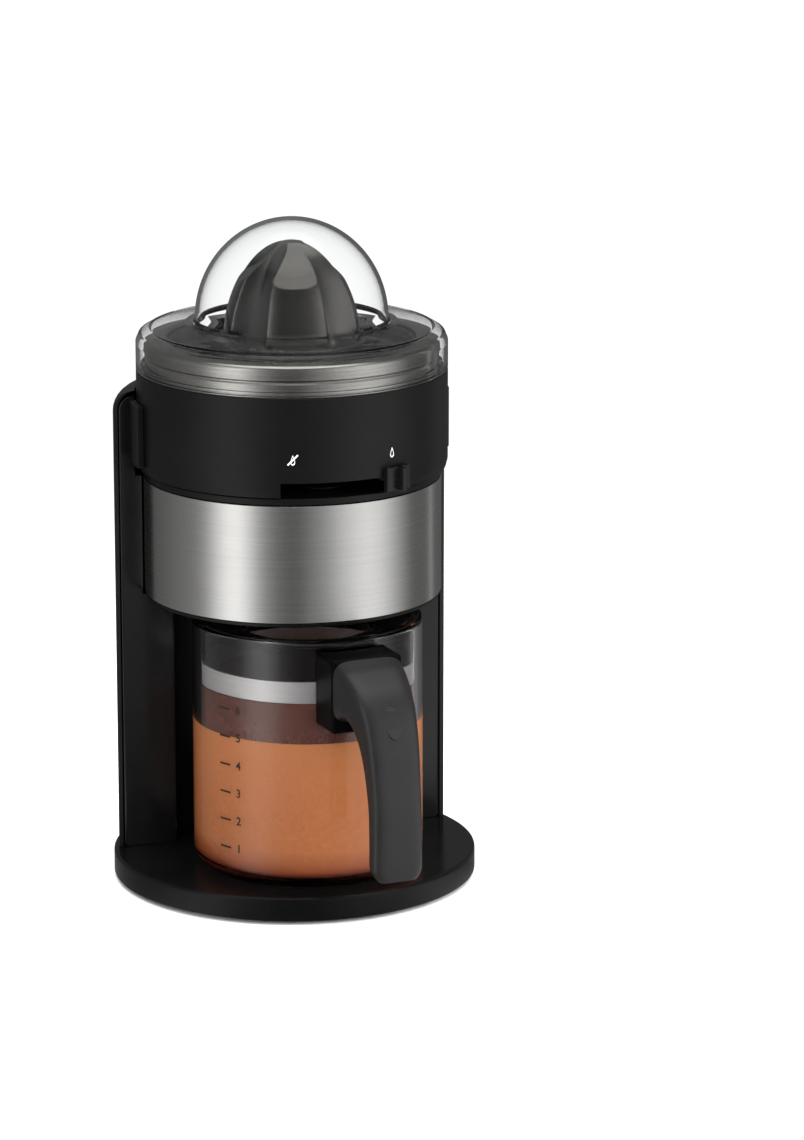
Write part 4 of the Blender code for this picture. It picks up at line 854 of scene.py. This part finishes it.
SWEEPER_LOW, SWEEPER_TOP = low_of("pulp_sweeper"), CONE_LOW - 0.3
PADDLE_AT = (24.0, 204.0)
profile = softened(
    [(CONE_R - 8.5, SWEEPER_LOW), (CONE_R + 2, SWEEPER_LOW), (CONE_R + 2, SWEEPER_TOP),
     (CONE_R - 8.5, SWEEPER_TOP)],
    [0.3, 0.4, 0.7, 0.2],
)
sweeper = solid("sweeper_ring", turned(profile, 128))
blades = []
for angle in PADDLE_AT:
    arm = box_outline((-5.5, 5.5), (34.0, 50.0), 1.2)
    paddle = box_outline((-5.5, 5.5), (41.0, 50.0), 1.0)
    for outline, top in ((arm, SWEEPER_TOP), (paddle, high_of("pulp_sweeper"))):
        shape = drawn_up(outline, SWEEPER_LOW, top, soft=0.5)
        blades.append(solid("paddle_tool", shape, turn=math.radians(angle - 90.0)))
for blade in blades:
    step = sweeper.modifiers.new("join", "BOOLEAN")
    step.operation = "UNION"
    step.solver = "EXACT"
    step.object = blade
carved(sweeper)
for blade in blades:
    bpy.data.objects.remove(blade)
fitted(sweeper, charcoal, "reamer", "charcoal", "pulp_sweeper")

# ---- clear cover -----------------------------------------------------------------------------
# Injection-moulded clear cover: a low wall on the ring, a sloped shoulder up to a rim, a shallow
# top and a dome over the cone. Its skirt locates inside the ring.


def see_through(name, tint, gloss, haze, ior, grain=0.004):
    """Clear moulded plastic whose polish varies slightly; lamps reach what is behind it."""
    made, tree, shader = new_material(name, Transmission_Weight=1.0, IOR=ior)
    place = node(tree, "ShaderNodeTexCoord").outputs["Object"]
    waves = cloud(tree, place, 18.0, 3.0)
    wire(tree, blended(tree, spread(tree, waves, 0.35, 0.65, 0.0, 1.0), tint, haze),
         shader.inputs["Base Color"])
    wire(tree, spread(tree, waves, 0.3, 0.7, gloss[0], gloss[1]), shader.inputs["Roughness"])
    wire(tree, bumped(tree, waves, grain), shader.inputs["Normal"])
    path = node(tree, "ShaderNodeLightPath")
    clear = node(tree, "ShaderNodeBsdfTransparent")
    clear.inputs[0].default_value = (*[0.5 + 0.5 * c for c in tint], 1.0)
    mix = node(tree, "ShaderNodeMixShader")
    wire(tree, path.outputs["Is Shadow Ray"], mix.inputs[0])
    wire(tree, shader.outputs[0], mix.inputs[1])
    wire(tree, clear.outputs[0], mix.inputs[2])
    wire(tree, mix.outputs[0], tree.nodes["Material Output"].inputs["Surface"])
    return made


COVER_LOW = low_of("dust_cover") + 2.8
COVER_TOP = high_of("dust_cover")
DOME_R, DOME_TALL, WALL = 50.0, 52.5, 2.0
DOME_CENTRE = COVER_TOP - DOME_TALL
RIM_Z, RIM_R = RING_TOP + 21.6, RING_R - 6.9
SHOULDER = RIM_Z - 7.0
LIP_R = RING_IN - 0.5


def dome_line(inset, start, end, count):
    """(radius, height) points on the dome's outline, that far inside its outer face."""
    t = np.radians(np.linspace(start, end, count))
    return np.stack([(DOME_R - inset) * np.cos(t), DOME_CENTRE + (DOME_TALL - inset) * np.sin(t)], axis=1)


start = math.degrees(math.asin((RIM_Z + 4.6 - DOME_CENTRE) / DOME_TALL))
outer = [(RING_R, COVER_LOW), (RING_R, SHOULDER), (RING_R - 1.7, SHOULDER + 4.0), (RIM_R, RIM_Z),
         (RIM_R - 1.6, RIM_Z - 0.1), (DOME_R + 5, RIM_Z + 2.4), (DOME_R + 1.2, RIM_Z + 3.2)]
outer_radii = [0.5, 2.5, 2.0, 0.7, 0.4, 1.0, 1.2]
dome = dome_line(0.0, start, 90.0, 40)
inner_dome = dome_line(WALL, 90.0, 4.0, 40)
inner = [(DOME_R - WALL + 1.6, RIM_Z + 1.2), (RIM_R - 1.2, RIM_Z - WALL - 0.2),
         (RING_R - 3.7, SHOULDER + 2.8),
         (RING_R - WALL, SHOULDER - 1), (RING_R - WALL, COVER_LOW + 2.5), (LIP_R - 1.0, COVER_LOW + 2.0),
         (LIP_R - 1.0, COVER_LOW - 2.8), (LIP_R, COVER_LOW - 2.8), (LIP_R, COVER_LOW)]
inner_radii = [1.2, 0.8, 1.5, 2.0, 0.5, 0.3, 0.2, 0.2, 0.2]
corners = np.concatenate([outer, dome, inner_dome, inner])
radii = np.concatenate([outer_radii, np.zeros(len(dome) + len(inner_dome)), inner_radii])
cover_clear = see_through("cover_clear", (0.985, 0.99, 0.99), (0.0, 0.02), (0.975, 0.98, 0.98), 1.2)
profile = softened(corners, radii, 6)
fitted(solid("clear_cover", turned(profile, 256)), cover_clear, "dust_cover", "clear_plastic", "dust_cover")

# ---- jug -------------------------------------------------------------------------------------
# Thick clear jug with a standing ring under it and a rolled rim; a polished steel band lies inside
# its wall below the lid, and the volume scale is printed on the outside.

jug_low, jug_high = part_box("jug_body")
JUG = ((jug_low.x + jug_high.x) / 2 / MM - PRESS_X, (jug_low.y + jug_high.y) / 2 / MM - PRESS_Y)
JUG_R = (jug_high.x - jug_low.x) / 2 / MM
JUG_IN = JUG_R - 4.4
JUG_LOW, JUG_HIGH = jug_low.z / MM, jug_high.z / MM
JUG_FLOOR = JUG_LOW + 5.4
HANDLE_TURN = math.radians(5.4)

jug_clear = see_through("jug_clear", (0.96, 0.95, 0.95), (0.0, 0.015), (0.95, 0.94, 0.945), 1.34)
profile = softened(
    [(0, JUG_LOW + 1.2), (48.6, JUG_LOW + 1.2), (49.8, JUG_LOW), (54.5, JUG_LOW), (JUG_R, JUG_LOW + 6.5),
     (JUG_R, JUG_HIGH), (JUG_IN + 0.2, JUG_HIGH), (JUG_IN, JUG_HIGH - 2), (JUG_IN, JUG_FLOOR),
     (0, JUG_FLOOR)],
    [0, 0.8, 0.5, 2.5, 4.5, 1.6, 0.9, 0.8, 7.0, 0],
    7,
)
jug = solid("jug_glass", turned(profile, 224), at=JUG)
fitted(jug, jug_clear, "jug", "clear_plastic", "jug_body")

BAND_IN_R = JUG_IN - 0.5
JUG_BAND_LOW, JUG_BAND_TOP = low_of("jug_band"), high_of("jug_band")
profile = softened(
    [(BAND_IN_R, JUG_BAND_TOP), (BAND_IN_R, JUG_BAND_LOW), (BAND_IN_R - 0.9, JUG_BAND_LOW),
     (BAND_IN_R - 0.9, JUG_BAND_TOP)],
    [0.3, 0.3, 0.1, 0.1],
)
# The band's steel is coloured near white, far lighter than steel: painted light on the band.
lit_band_steel = brushed("lit_band_steel", (0.80, 0.80, 0.79), (0.88, 0.88, 0.87), (0.50, 0.58), streaks=2400.0,
                     depth=0.04)
fitted(solid("jug_sleeve", turned(profile, 192), at=JUG), lit_band_steel, "jug", "brushed_steel", "jug_band")

# Juice: cloudy pink-grapefruit juice filling the jug to a little over half, with a meniscus. Above it a thin
# film of froth and pulp lines the wall, its dark red-brown colour painted shade over the glass above the
# juice.
JUICE_TOP = 91.2
juice_body, tree, shader = new_material("juice_body", Subsurface_Weight=0.0, Specular_IOR_Level=0.3)
place = node(tree, "ShaderNodeTexCoord").outputs["Object"]
height = node(tree, "ShaderNodeSeparateXYZ")
wire(tree, place, height.inputs[0])
pulp = cloud(tree, place, 420.0, 5.0, 0.65)
# The juice's colour is darker towards the bottom of the jug and lighter towards its top.
darker_low = spread(tree, height.outputs["Z"], 0.018, 0.034, 1.0, 0.0)
upper = spread(tree, height.outputs["Z"], 0.05, 0.0915, 0.0, 1.0)
body = blended(tree, upper, (0.39, 0.120, 0.033), (0.44, 0.155, 0.050))
body = blended(tree, spread(tree, pulp, 0.35, 0.7, 0.0, 0.5), body, (0.46, 0.178, 0.065))
wire(tree, blended(tree, darker_low, body, (0.20, 0.028, 0.010)), shader.inputs["Base Color"])
wire(tree, spread(tree, pulp, 0.3, 0.7, 0.35, 0.5), shader.inputs["Roughness"])
wire(tree, bumped(tree, pulp, 0.04), shader.inputs["Normal"])
profile = softened(
    [(0, JUG_FLOOR - 0.1), (JUG_IN + 0.15, JUG_FLOOR - 0.1), (JUG_IN + 0.15, JUICE_TOP + 0.9),
     (JUG_IN - 1.4, JUICE_TOP + 0.1), (JUG_IN - 6, JUICE_TOP), (0, JUICE_TOP)],
    [0, 6.9, 0, 0.6, 1.0, 0],
    7,
)
fitted(solid("juice", turned(profile, 192), at=JUG), juice_body, "jug", "clear_plastic")

# The film is partly froth and pulp; its dark red-brown colour and its opacity are painted shade over the
# glass above the juice.
film_and_shade, tree, shader = new_material("juice_film_and_shade", Roughness=0.35)
place = node(tree, "ShaderNodeTexCoord").outputs["Object"]
height = node(tree, "ShaderNodeSeparateXYZ")
wire(tree, place, height.inputs[0])
froth = cloud(tree, place, 260.0, 5.0, 0.65)
wire(tree, blended(tree, froth, (0.075, 0.018, 0.010), (0.105, 0.034, 0.022)), shader.inputs["Base Color"])
fade = spread(tree, height.outputs["Z"], 0.090, 0.114, 0.86, 0.66)
thick = node(tree, "ShaderNodeMath", operation="MULTIPLY")
wire(tree, fade, thick.inputs[0])
wire(tree, spread(tree, froth, 0.3, 0.7, 0.92, 1.04), thick.inputs[1])
wire(tree, thick.outputs[0], shader.inputs["Alpha"])
profile = softened(
    [(JUG_IN - 0.1, JUICE_TOP + 0.9), (JUG_IN - 0.1, JUG_BAND_LOW - 0.2), (JUG_IN - 0.35, JUG_BAND_LOW - 0.2),
     (JUG_IN - 0.35, JUICE_TOP + 0.9)],
    0.05,
    2,
)
fitted(solid("juice_film_and_shade", turned(profile, 160), at=JUG), film_and_shade, "jug", "clear_plastic")

# Volume scale: six short dashes with the numbers 1 to 6, printed in dark ink.
SCALE_FROM, SCALE_STEP, SCALE_COUNT = 33.6, 14.8, 6
DASH_AT, DASH_LONG, DASH_TALL = -62.0, 7.4, 1.0
NUMBER_AT, NUMBER_TALL = -53.4, 4.4
dark_ink, tree, shader = new_material("scale_ink", Specular_IOR_Level=0.2)
place = node(tree, "ShaderNodeTexCoord").outputs["Object"]
worn = cloud(tree, place, 2600.0, 3.0)
wire(tree, blended(tree, worn, (0.010, 0.008, 0.007), (0.020, 0.014, 0.012)), shader.inputs["Base Color"])
wire(tree, spread(tree, worn, 0.3, 0.7, 0.4, 0.6), shader.inputs["Roughness"])


def figure(text, tall, thick):
    """A numeral from the built-in typeface as points and triangles, centred, its thickness in z."""
    curve = bpy.data.curves.new("figure", "FONT")
    curve.body = text
    curve.size = tall * 1.4
    curve.extrude = thick / 2
    curve.offset = tall * 0.025
    curve.align_x = "CENTER"
    curve.align_y = "CENTER"
    curve.resolution_u = 4
    holder = bpy.data.objects.new("figure", curve)
    bpy.context.scene.collection.objects.link(holder)
    bpy.context.view_layer.update()
    mesh = bpy.data.meshes.new_from_object(holder.evaluated_get(bpy.context.evaluated_depsgraph_get()))
    points = np.array([v.co for v in mesh.vertices])
    faces = [list(face.vertices) for face in mesh.polygons]
    bpy.data.objects.remove(holder)
    return points, faces


def gathered(shapes):
    """Several shapes as one list of points and one of faces."""
    points, faces, start = [], [], 0
    for shape_points, shape_faces in shapes:
        points.append(shape_points)
        faces += [[index + start for index in face] for face in shape_faces]
        start += len(shape_points)
    return np.concatenate(points), faces


shapes = []
for i in range(SCALE_COUNT):
    height = SCALE_FROM + SCALE_STEP * i
    dash_x = np.linspace(-DASH_LONG / 2, DASH_LONG / 2, 9)
    dash = np.concatenate([
        np.stack([dash_x, np.full(9, height - DASH_TALL / 2)], axis=1),
        np.stack([dash_x[::-1], np.full(9, height + DASH_TALL / 2)], axis=1),
    ])
    shapes.append(wrapped(drawn_up(dash, 0.02, INK), JUG_R, DASH_AT))
    points, faces = figure(str(i + 1), NUMBER_TALL, INK - 0.02)
    points = points + [0, height, (INK + 0.02) / 2]
    shapes.append(wrapped((points, faces), JUG_R, NUMBER_AT))
fitted(solid("volume_scale", gathered(shapes), at=JUG), dark_ink, "jug", "clear_plastic")

# ---- handle ----------------------------------------------------------------------------------
# Satin black block screwed through the jug's wall, the bowed grip that hangs from it, and an
# oval plug over the grip's own screw.

BLOCK_HALF, BLOCK_OUT = 19.0, 80.0
BLOCK_LOW, BLOCK_TOP = JUG_HIGH - 41.5, JUG_HIGH - 3.5
handle_satin = plastic("handle_satin", (0.008, 0.008, 0.008), (0.011, 0.0108, 0.0108), (0.36, 0.46),
                       grain=(2000.0, 0.14), patch=20.0, Specular_IOR_Level=0.45)
# The block is the grip's satin plastic coloured darker and nearly without gloss: painted shade on the block.
shaded_block_satin = plastic("shaded_block_satin", (0.001, 0.001, 0.001), (0.0016, 0.0016, 0.0016), (0.26, 0.36),
                      grain=(2000.0, 0.10), patch=20.0, Specular_IOR_Level=0.04)
inner_r = JUG_R + 0.4
a = np.arcsin(np.linspace(BLOCK_HALF, -BLOCK_HALF, 25) / inner_r)
arc_part = np.stack([inner_r * np.sin(a), -inner_r * np.cos(a)], axis=1)
corners = np.concatenate([[(-BLOCK_HALF, -BLOCK_OUT), (BLOCK_HALF, -BLOCK_OUT)], arc_part])
radii = np.zeros(len(corners))
radii[:3] = 2.2, 2.2, 0.8
radii[-1] = 0.8
outline = softened(corners, radii, 5)
block = solid("handle_block", drawn_up(outline, BLOCK_LOW, BLOCK_TOP, soft=1.5), at=JUG, turn=HANDLE_TURN)
tools = []
SCREWS = [(low_of(name) + high_of(name)) / 2 for name in ("handle_screw_1", "handle_screw_2")]
for height in SCREWS:
    hole = [(0, JUG_IN - 8), (1.8, JUG_IN - 8), (1.8, JUG_R + 10), (0, JUG_R + 10)]
    tools.append(solid("hole_tool", laid_along(turned(hole, 24), -1, height), at=JUG, turn=HANDLE_TURN))
carved(block, *tools)
fitted(block, shaded_block_satin, "jug", "satin_black", "handle_bracket")
kept(turned_steel, "handle_screw_1", "handle_screw_2")

GRIP_OUT = np.array([(80.3, 142), (92, 137.4), (106, 127.0), (115.5, 108.5), (121, 79), (122, 56), (122, 36)])
GRIP_IN = np.array([(80.3, 110), (87, 112), (95, 108), (103, 95), (108, 74), (109.5, 56), (109.5, 37)])
GRIP_HALF = np.array([19, 17.5, 15.5, 14.0, 13.0, 13.0, 13.0])


def through(points, count):
    """A smooth line through the points: each span is a cubic whose end slopes are half the chord
    between its neighbours."""
    points = np.asarray(points, float)
    if points.ndim == 1:
        points = points[:, None]
    padded = np.concatenate([2 * points[:1] - points[1:2], points, 2 * points[-1:] - points[-2:-1]])
    t = np.linspace(0, len(points) - 1, count)
    span = np.minimum(t.astype(int), len(points) - 2)
    f = (t - span)[:, None]
    p0, p1, p2, p3 = (padded[span + i] for i in range(4))
    m1, m2 = (p2 - p0) / 2, (p3 - p1) / 2
    return ((2 * f**3 - 3 * f**2 + 1) * p1 + (f**3 - 2 * f**2 + f) * m1
            + (3 * f**2 - 2 * f**3) * p2 + (f**3 - f**2) * m2)


def bow(count=72, around=64, squareness=5.0):
    """The grip: superellipse sections |x|^n + |y|^n = 1 carried down between its outer and inner
    lines, shrinking to a rounded end."""
    outer, inner, half = through(GRIP_OUT, count), through(GRIP_IN, count), through(GRIP_HALF, count)
    middle, reach = (outer + inner) / 2, (outer - inner) / 2
    t = np.linspace(0, math.tau, around, endpoint=False)
    c = np.sign(np.cos(t)) * np.abs(np.cos(t)) ** (2 / squareness)
    s = np.sign(np.sin(t)) * np.abs(np.sin(t)) ** (2 / squareness)
    left = np.linspace(0, 1, count) * (count - 1)
    near_end = np.clip((left - (count - 7)) / 6, 0, 1)
    size = 1 - 0.22 * near_end**3
    r = middle[:, :1] + reach[:, :1] * c * size[:, None]
    z = middle[:, 1:] + reach[:, 1:] * c * size[:, None]
    x = half * s * size[:, None]
    return np.stack([x, -r, z], axis=-1)


grip = stacked(bow())
fitted(solid("handle_bow", grip, at=JUG, turn=HANDLE_TURN), handle_satin, "jug", "satin_black", "handle_grip")

plug_black = plastic("plug_black", (0.007, 0.007, 0.007), (0.010, 0.010, 0.010), (0.18, 0.26),
                     grain=(1800.0, 0.06))
rise, run = 19.0, 9.5
lean = math.atan2(run, rise)
t = np.linspace(0, math.tau, 48, endpoint=False)
plug_outline = np.stack([4.6 * np.cos(t), 9.0 * np.sin(t)], axis=1)
points, faces = drawn_up(plug_outline, 0.0, 1.0, soft=0.45)
x, y, z = points.T
tilt = math.pi / 2 - lean
face_y = -(122.0 - 16 + run / 2 + 0.4)
face_z = BLOCK_TOP - 16 - rise / 2
c, s = math.cos(tilt), math.sin(tilt)
placed = np.stack([x, y * c - z * s + face_y, y * s + z * c + face_z], axis=1)
plug = solid("handle_plug", (placed, faces), at=JUG, turn=HANDLE_TURN)
fitted(plug, plug_black, "jug", "gloss_black", "handle_cap")

# ---- lid -------------------------------------------------------------------------------------
# Smoky translucent plug lid: its skirt drops inside the jug, a funnel leads to the inlet and a
# notch over the handle clears the thumb.

LID_LOW, LID_TOP = low_of("jug_lid"), high_of("jug_lid")
SKIRT_IN = BAND_IN_R - 1.8
INLET_R = 33.0
lid_smoke = see_through("lid_smoke", (0.20, 0.18, 0.185), (0.02, 0.05), (0.16, 0.145, 0.15), 1.36)
profile = softened(
    [(BAND_IN_R, JUG_HIGH - 0.8), (BAND_IN_R, LID_LOW), (SKIRT_IN, LID_LOW), (SKIRT_IN, LID_TOP - 6),
     (INLET_R + 4, LID_TOP - 8), (INLET_R + 3, LID_TOP - 14), (INLET_R, LID_TOP - 14), (INLET_R, LID_TOP - 7),
     (INLET_R + 1.5, LID_TOP - 5.6), (BAND_IN_R - 3, LID_TOP - 3.4), (BAND_IN_R - 1.5, LID_TOP),
     (JUG_R - 2.2, LID_TOP), (JUG_R - 2.2, JUG_HIGH + 0.3), (BAND_IN_R, JUG_HIGH + 0.3)],
    [0.2, 0.5, 0.3, 1.5, 1.0, 0.4, 0.4, 0.8, 0.8, 1.2, 0.6, 0.5, 0.2, 0.2],
)
lid = solid("lid_plug", turned(profile, 192), at=JUG)
NOTCH_HALF = 17.0
notch = drawn_up(box_outline((-NOTCH_HALF, NOTCH_HALF), (-JUG_R, -(BAND_IN_R - 1.0))), JUG_HIGH - 1,
                 LID_TOP + 1)
carved(lid, solid("notch_tool", notch, at=JUG, turn=HANDLE_TURN))
fitted(lid, lid_smoke, "jug_lid", "smoky_plastic", "jug_lid")

# ---- studio ----------------------------------------------------------------------------------
# A pale floor, a white room with soft boxes and black flags that draw the long upright bands on
# the steel, two lamps, and the camera.

FLOOR_HALF = 16.0
mesh = bpy.data.meshes.new("floor")
mesh.from_pydata([(-FLOOR_HALF, -FLOOR_HALF, 0), (FLOOR_HALF, -FLOOR_HALF, 0), (FLOOR_HALF, FLOOR_HALF, 0),
                  (-FLOOR_HALF, FLOOR_HALF, 0)], [], [(0, 1, 2, 3)])
floor = bpy.data.objects.new("floor", mesh)
bpy.context.scene.collection.objects.link(floor)
VIEW_TURN = 16.6
# Brightness of the room at each direction round the machine, in degrees from the camera's.
ROOM = [(-180, 0.15), (-128, 0.14), (-112, 0.18), (-100, 0.23), (-88, 0.27), (-78, 0.34), (-69, 0.55),
        (-60, 1.15),
        (-51, 1.70), (-42, 1.75), (-34, 1.2), (-26, 0.60), (-19, 0.36), (-11, 0.22), (-3, 0.16), (5, 0.17),
        (12, 0.29), (20, 0.42), (28, 0.60), (36, 0.88), (44, 1.08), (53, 1.30), (61, 1.38), (71, 1.20),
        (80, 0.85), (91, 0.45), (102, 0.18), (126, 0.15), (131, 0.6), (136, 0.15), (170, 0.10)]


def room_light(tree, direction):
    """The room's brightness along a direction: its turn about Z, from the camera's side, on a ramp."""
    parts = node(tree, "ShaderNodeSeparateXYZ")
    wire(tree, direction, parts.inputs[0])
    back = node(tree, "ShaderNodeMath", operation="MULTIPLY")
    wire(tree, parts.outputs["Y"], back.inputs[0])
    back.inputs[1].default_value = -1.0
    around = node(tree, "ShaderNodeMath", operation="ARCTAN2")
    wire(tree, parts.outputs["X"], around.inputs[0])
    wire(tree, back.outputs[0], around.inputs[1])
    share = node(tree, "ShaderNodeMath", operation="MULTIPLY_ADD")
    wire(tree, around.outputs[0], share.inputs[0])
    share.inputs[1].default_value = 1 / math.tau
    share.inputs[2].default_value = 1.5 + VIEW_TURN / 360
    wrap = node(tree, "ShaderNodeMath", operation="FRACT")
    wire(tree, share.outputs[0], wrap.inputs[0])
    ramp = node(tree, "ShaderNodeValToRGB")
    stops = ramp.color_ramp.elements
    stops[0].position, stops[1].position = 0.0, 1.0
    stops[0].color = stops[1].color = (ROOM[0][1] / 2, ROOM[0][1] / 2, ROOM[0][1] / 2, 1.0)
    for angle, level in ROOM[1:]:
        stop = stops.new(0.5 + angle / 360)
        stop.color = (level / 2, level / 2, level / 2, 1.0)
    wire(tree, wrap.outputs[0], ramp.inputs[0])
    return ramp.outputs[0], parts.outputs["Z"]


def combined(tree, operation, first, second, clamped=True):
    """One step of arithmetic on two sockets, held between 0 and 1 unless clamped is off."""
    made = node(tree, "ShaderNodeMath", operation=operation, use_clamp=clamped)
    wire(tree, first, made.inputs[0])
    wire(tree, second, made.inputs[1])
    return made.outputs[0]


# The floor is lit paper near the machine and fades to pure white further out. To shiny pieces it glows with
# the room's brightness instead, a painted reflection of the room such as a polished table would give.
pale, tree, shader = new_material("pale_floor", Roughness=0.9, Specular_IOR_Level=0.0)
place = node(tree, "ShaderNodeTexCoord").outputs["Object"]
paper = cloud(tree, place, 3.0, 2.0)
wire(tree, blended(tree, paper, (0.93, 0.93, 0.93), (0.95, 0.95, 0.95)), shader.inputs["Base Color"])
path = node(tree, "ShaderNodeLightPath").outputs
white = node(tree, "ShaderNodeEmission")
white.inputs["Strength"].default_value = 1.05
distance = node(tree, "ShaderNodeVectorMath", operation="LENGTH")
wire(tree, place, distance.inputs[0])
seen = combined(tree, "MAXIMUM", path["Is Camera Ray"], path["Is Transmission Ray"])
far = combined(tree, "MULTIPLY", seen, spread(tree, distance.outputs["Value"], 0.25, 1.0, 0.0, 1.0))
first = node(tree, "ShaderNodeMixShader")
wire(tree, far, first.inputs[0])
wire(tree, shader.outputs[0], first.inputs[1])
wire(tree, white.outputs[0], first.inputs[2])
room, level = room_light(tree, place)
# Painted reflection: the floor glows with the room's brightness for reflected rays.
painted_room_glow = node(tree, "ShaderNodeEmission")
wire(tree, room, painted_room_glow.inputs[0])
painted_room_glow.inputs["Strength"].default_value = 1.7
second = node(tree, "ShaderNodeMixShader")
wire(tree, spread(tree, path["Glossy Depth"], 0.0, 1.0, 0.0, 1.0), second.inputs[0])
wire(tree, first.outputs[0], second.inputs[1])
wire(tree, painted_room_glow.outputs[0], second.inputs[2])
wire(tree, second.outputs[0], tree.nodes["Material Output"].inputs["Surface"])
mesh.materials.append(pale)

world = bpy.data.worlds.new("studio")
bpy.context.scene.world = world
world.use_nodes = True
tree = world.node_tree
room, level = room_light(tree, node(tree, "ShaderNodeTexCoord").outputs["Generated"])
ceiling = spread(tree, level, 0.45, 0.85, 0.0, 1.0)
path = node(tree, "ShaderNodeLightPath").outputs
mirrored = spread(tree, path["Glossy Depth"], 0.0, 1.0, 0.0, 1.0)
sky = tree.nodes["Background"]
around = blended(tree, ceiling, room, (0.07, 0.07, 0.072))
around = blended(tree, spread(tree, level, 0.80, 0.93, 0.0, 1.0), around, (0.9, 0.9, 0.88))
wire(tree, blended(tree, mirrored, (0.5, 0.5, 0.5), around), sky.inputs[0])
sky.inputs[1].default_value = 2.0


def lamp(name, place, aim, size, power):
    """A soft box facing a point; it lights the pieces but isn't mirrored by them."""
    light = bpy.data.lights.new(name, "AREA")
    light.shape = "RECTANGLE"
    light.size, light.size_y = size
    light.energy = power
    holder = bpy.data.objects.new(name, light)
    holder.location = place
    x, y, z = (aim[i] - place[i] for i in range(3))
    holder.rotation_euler = (math.atan2(math.hypot(x, y), -z), 0, math.atan2(-x, y))
    holder.visible_glossy = holder.visible_transmission = False
    bpy.context.scene.collection.objects.link(holder)
    return holder


lamp("top_box", (0.2, 0.3, 2.4), (0.0, 0.0, 0.1), (2.6, 2.6), 85.0)
lamp("front_box", (-0.5, -2.3, 1.2), (0.0, 0.0, 0.12), (1.6, 1.2), 27.0)
lamp("right_box", (1.7, -1.1, 0.9), (0.0, 0.0, 0.12), (0.8, 1.6), 34.0)

CAMERA_PLACE = (-0.6853, -2.2752, 0.7692)
LOOKS_DOWN, TURNS_RIGHT = 14.17, 17.92
camera_data = bpy.data.cameras.new("camera")
camera_data.sensor_fit = "HORIZONTAL"
camera_data.sensor_width = 36.0
camera_data.lens = 212.0
camera_data.shift_x = 0.003
camera_data.clip_start, camera_data.clip_end = 0.1, 60.0
camera = bpy.data.objects.new("camera", camera_data)
camera.location = CAMERA_PLACE
camera.rotation_euler = (math.radians(90.0 - LOOKS_DOWN), 0.0, math.radians(-TURNS_RIGHT))
bpy.context.scene.collection.objects.link(camera)
bpy.context.scene.camera = camera
bpy.context.scene.view_settings.view_transform = "Standard"
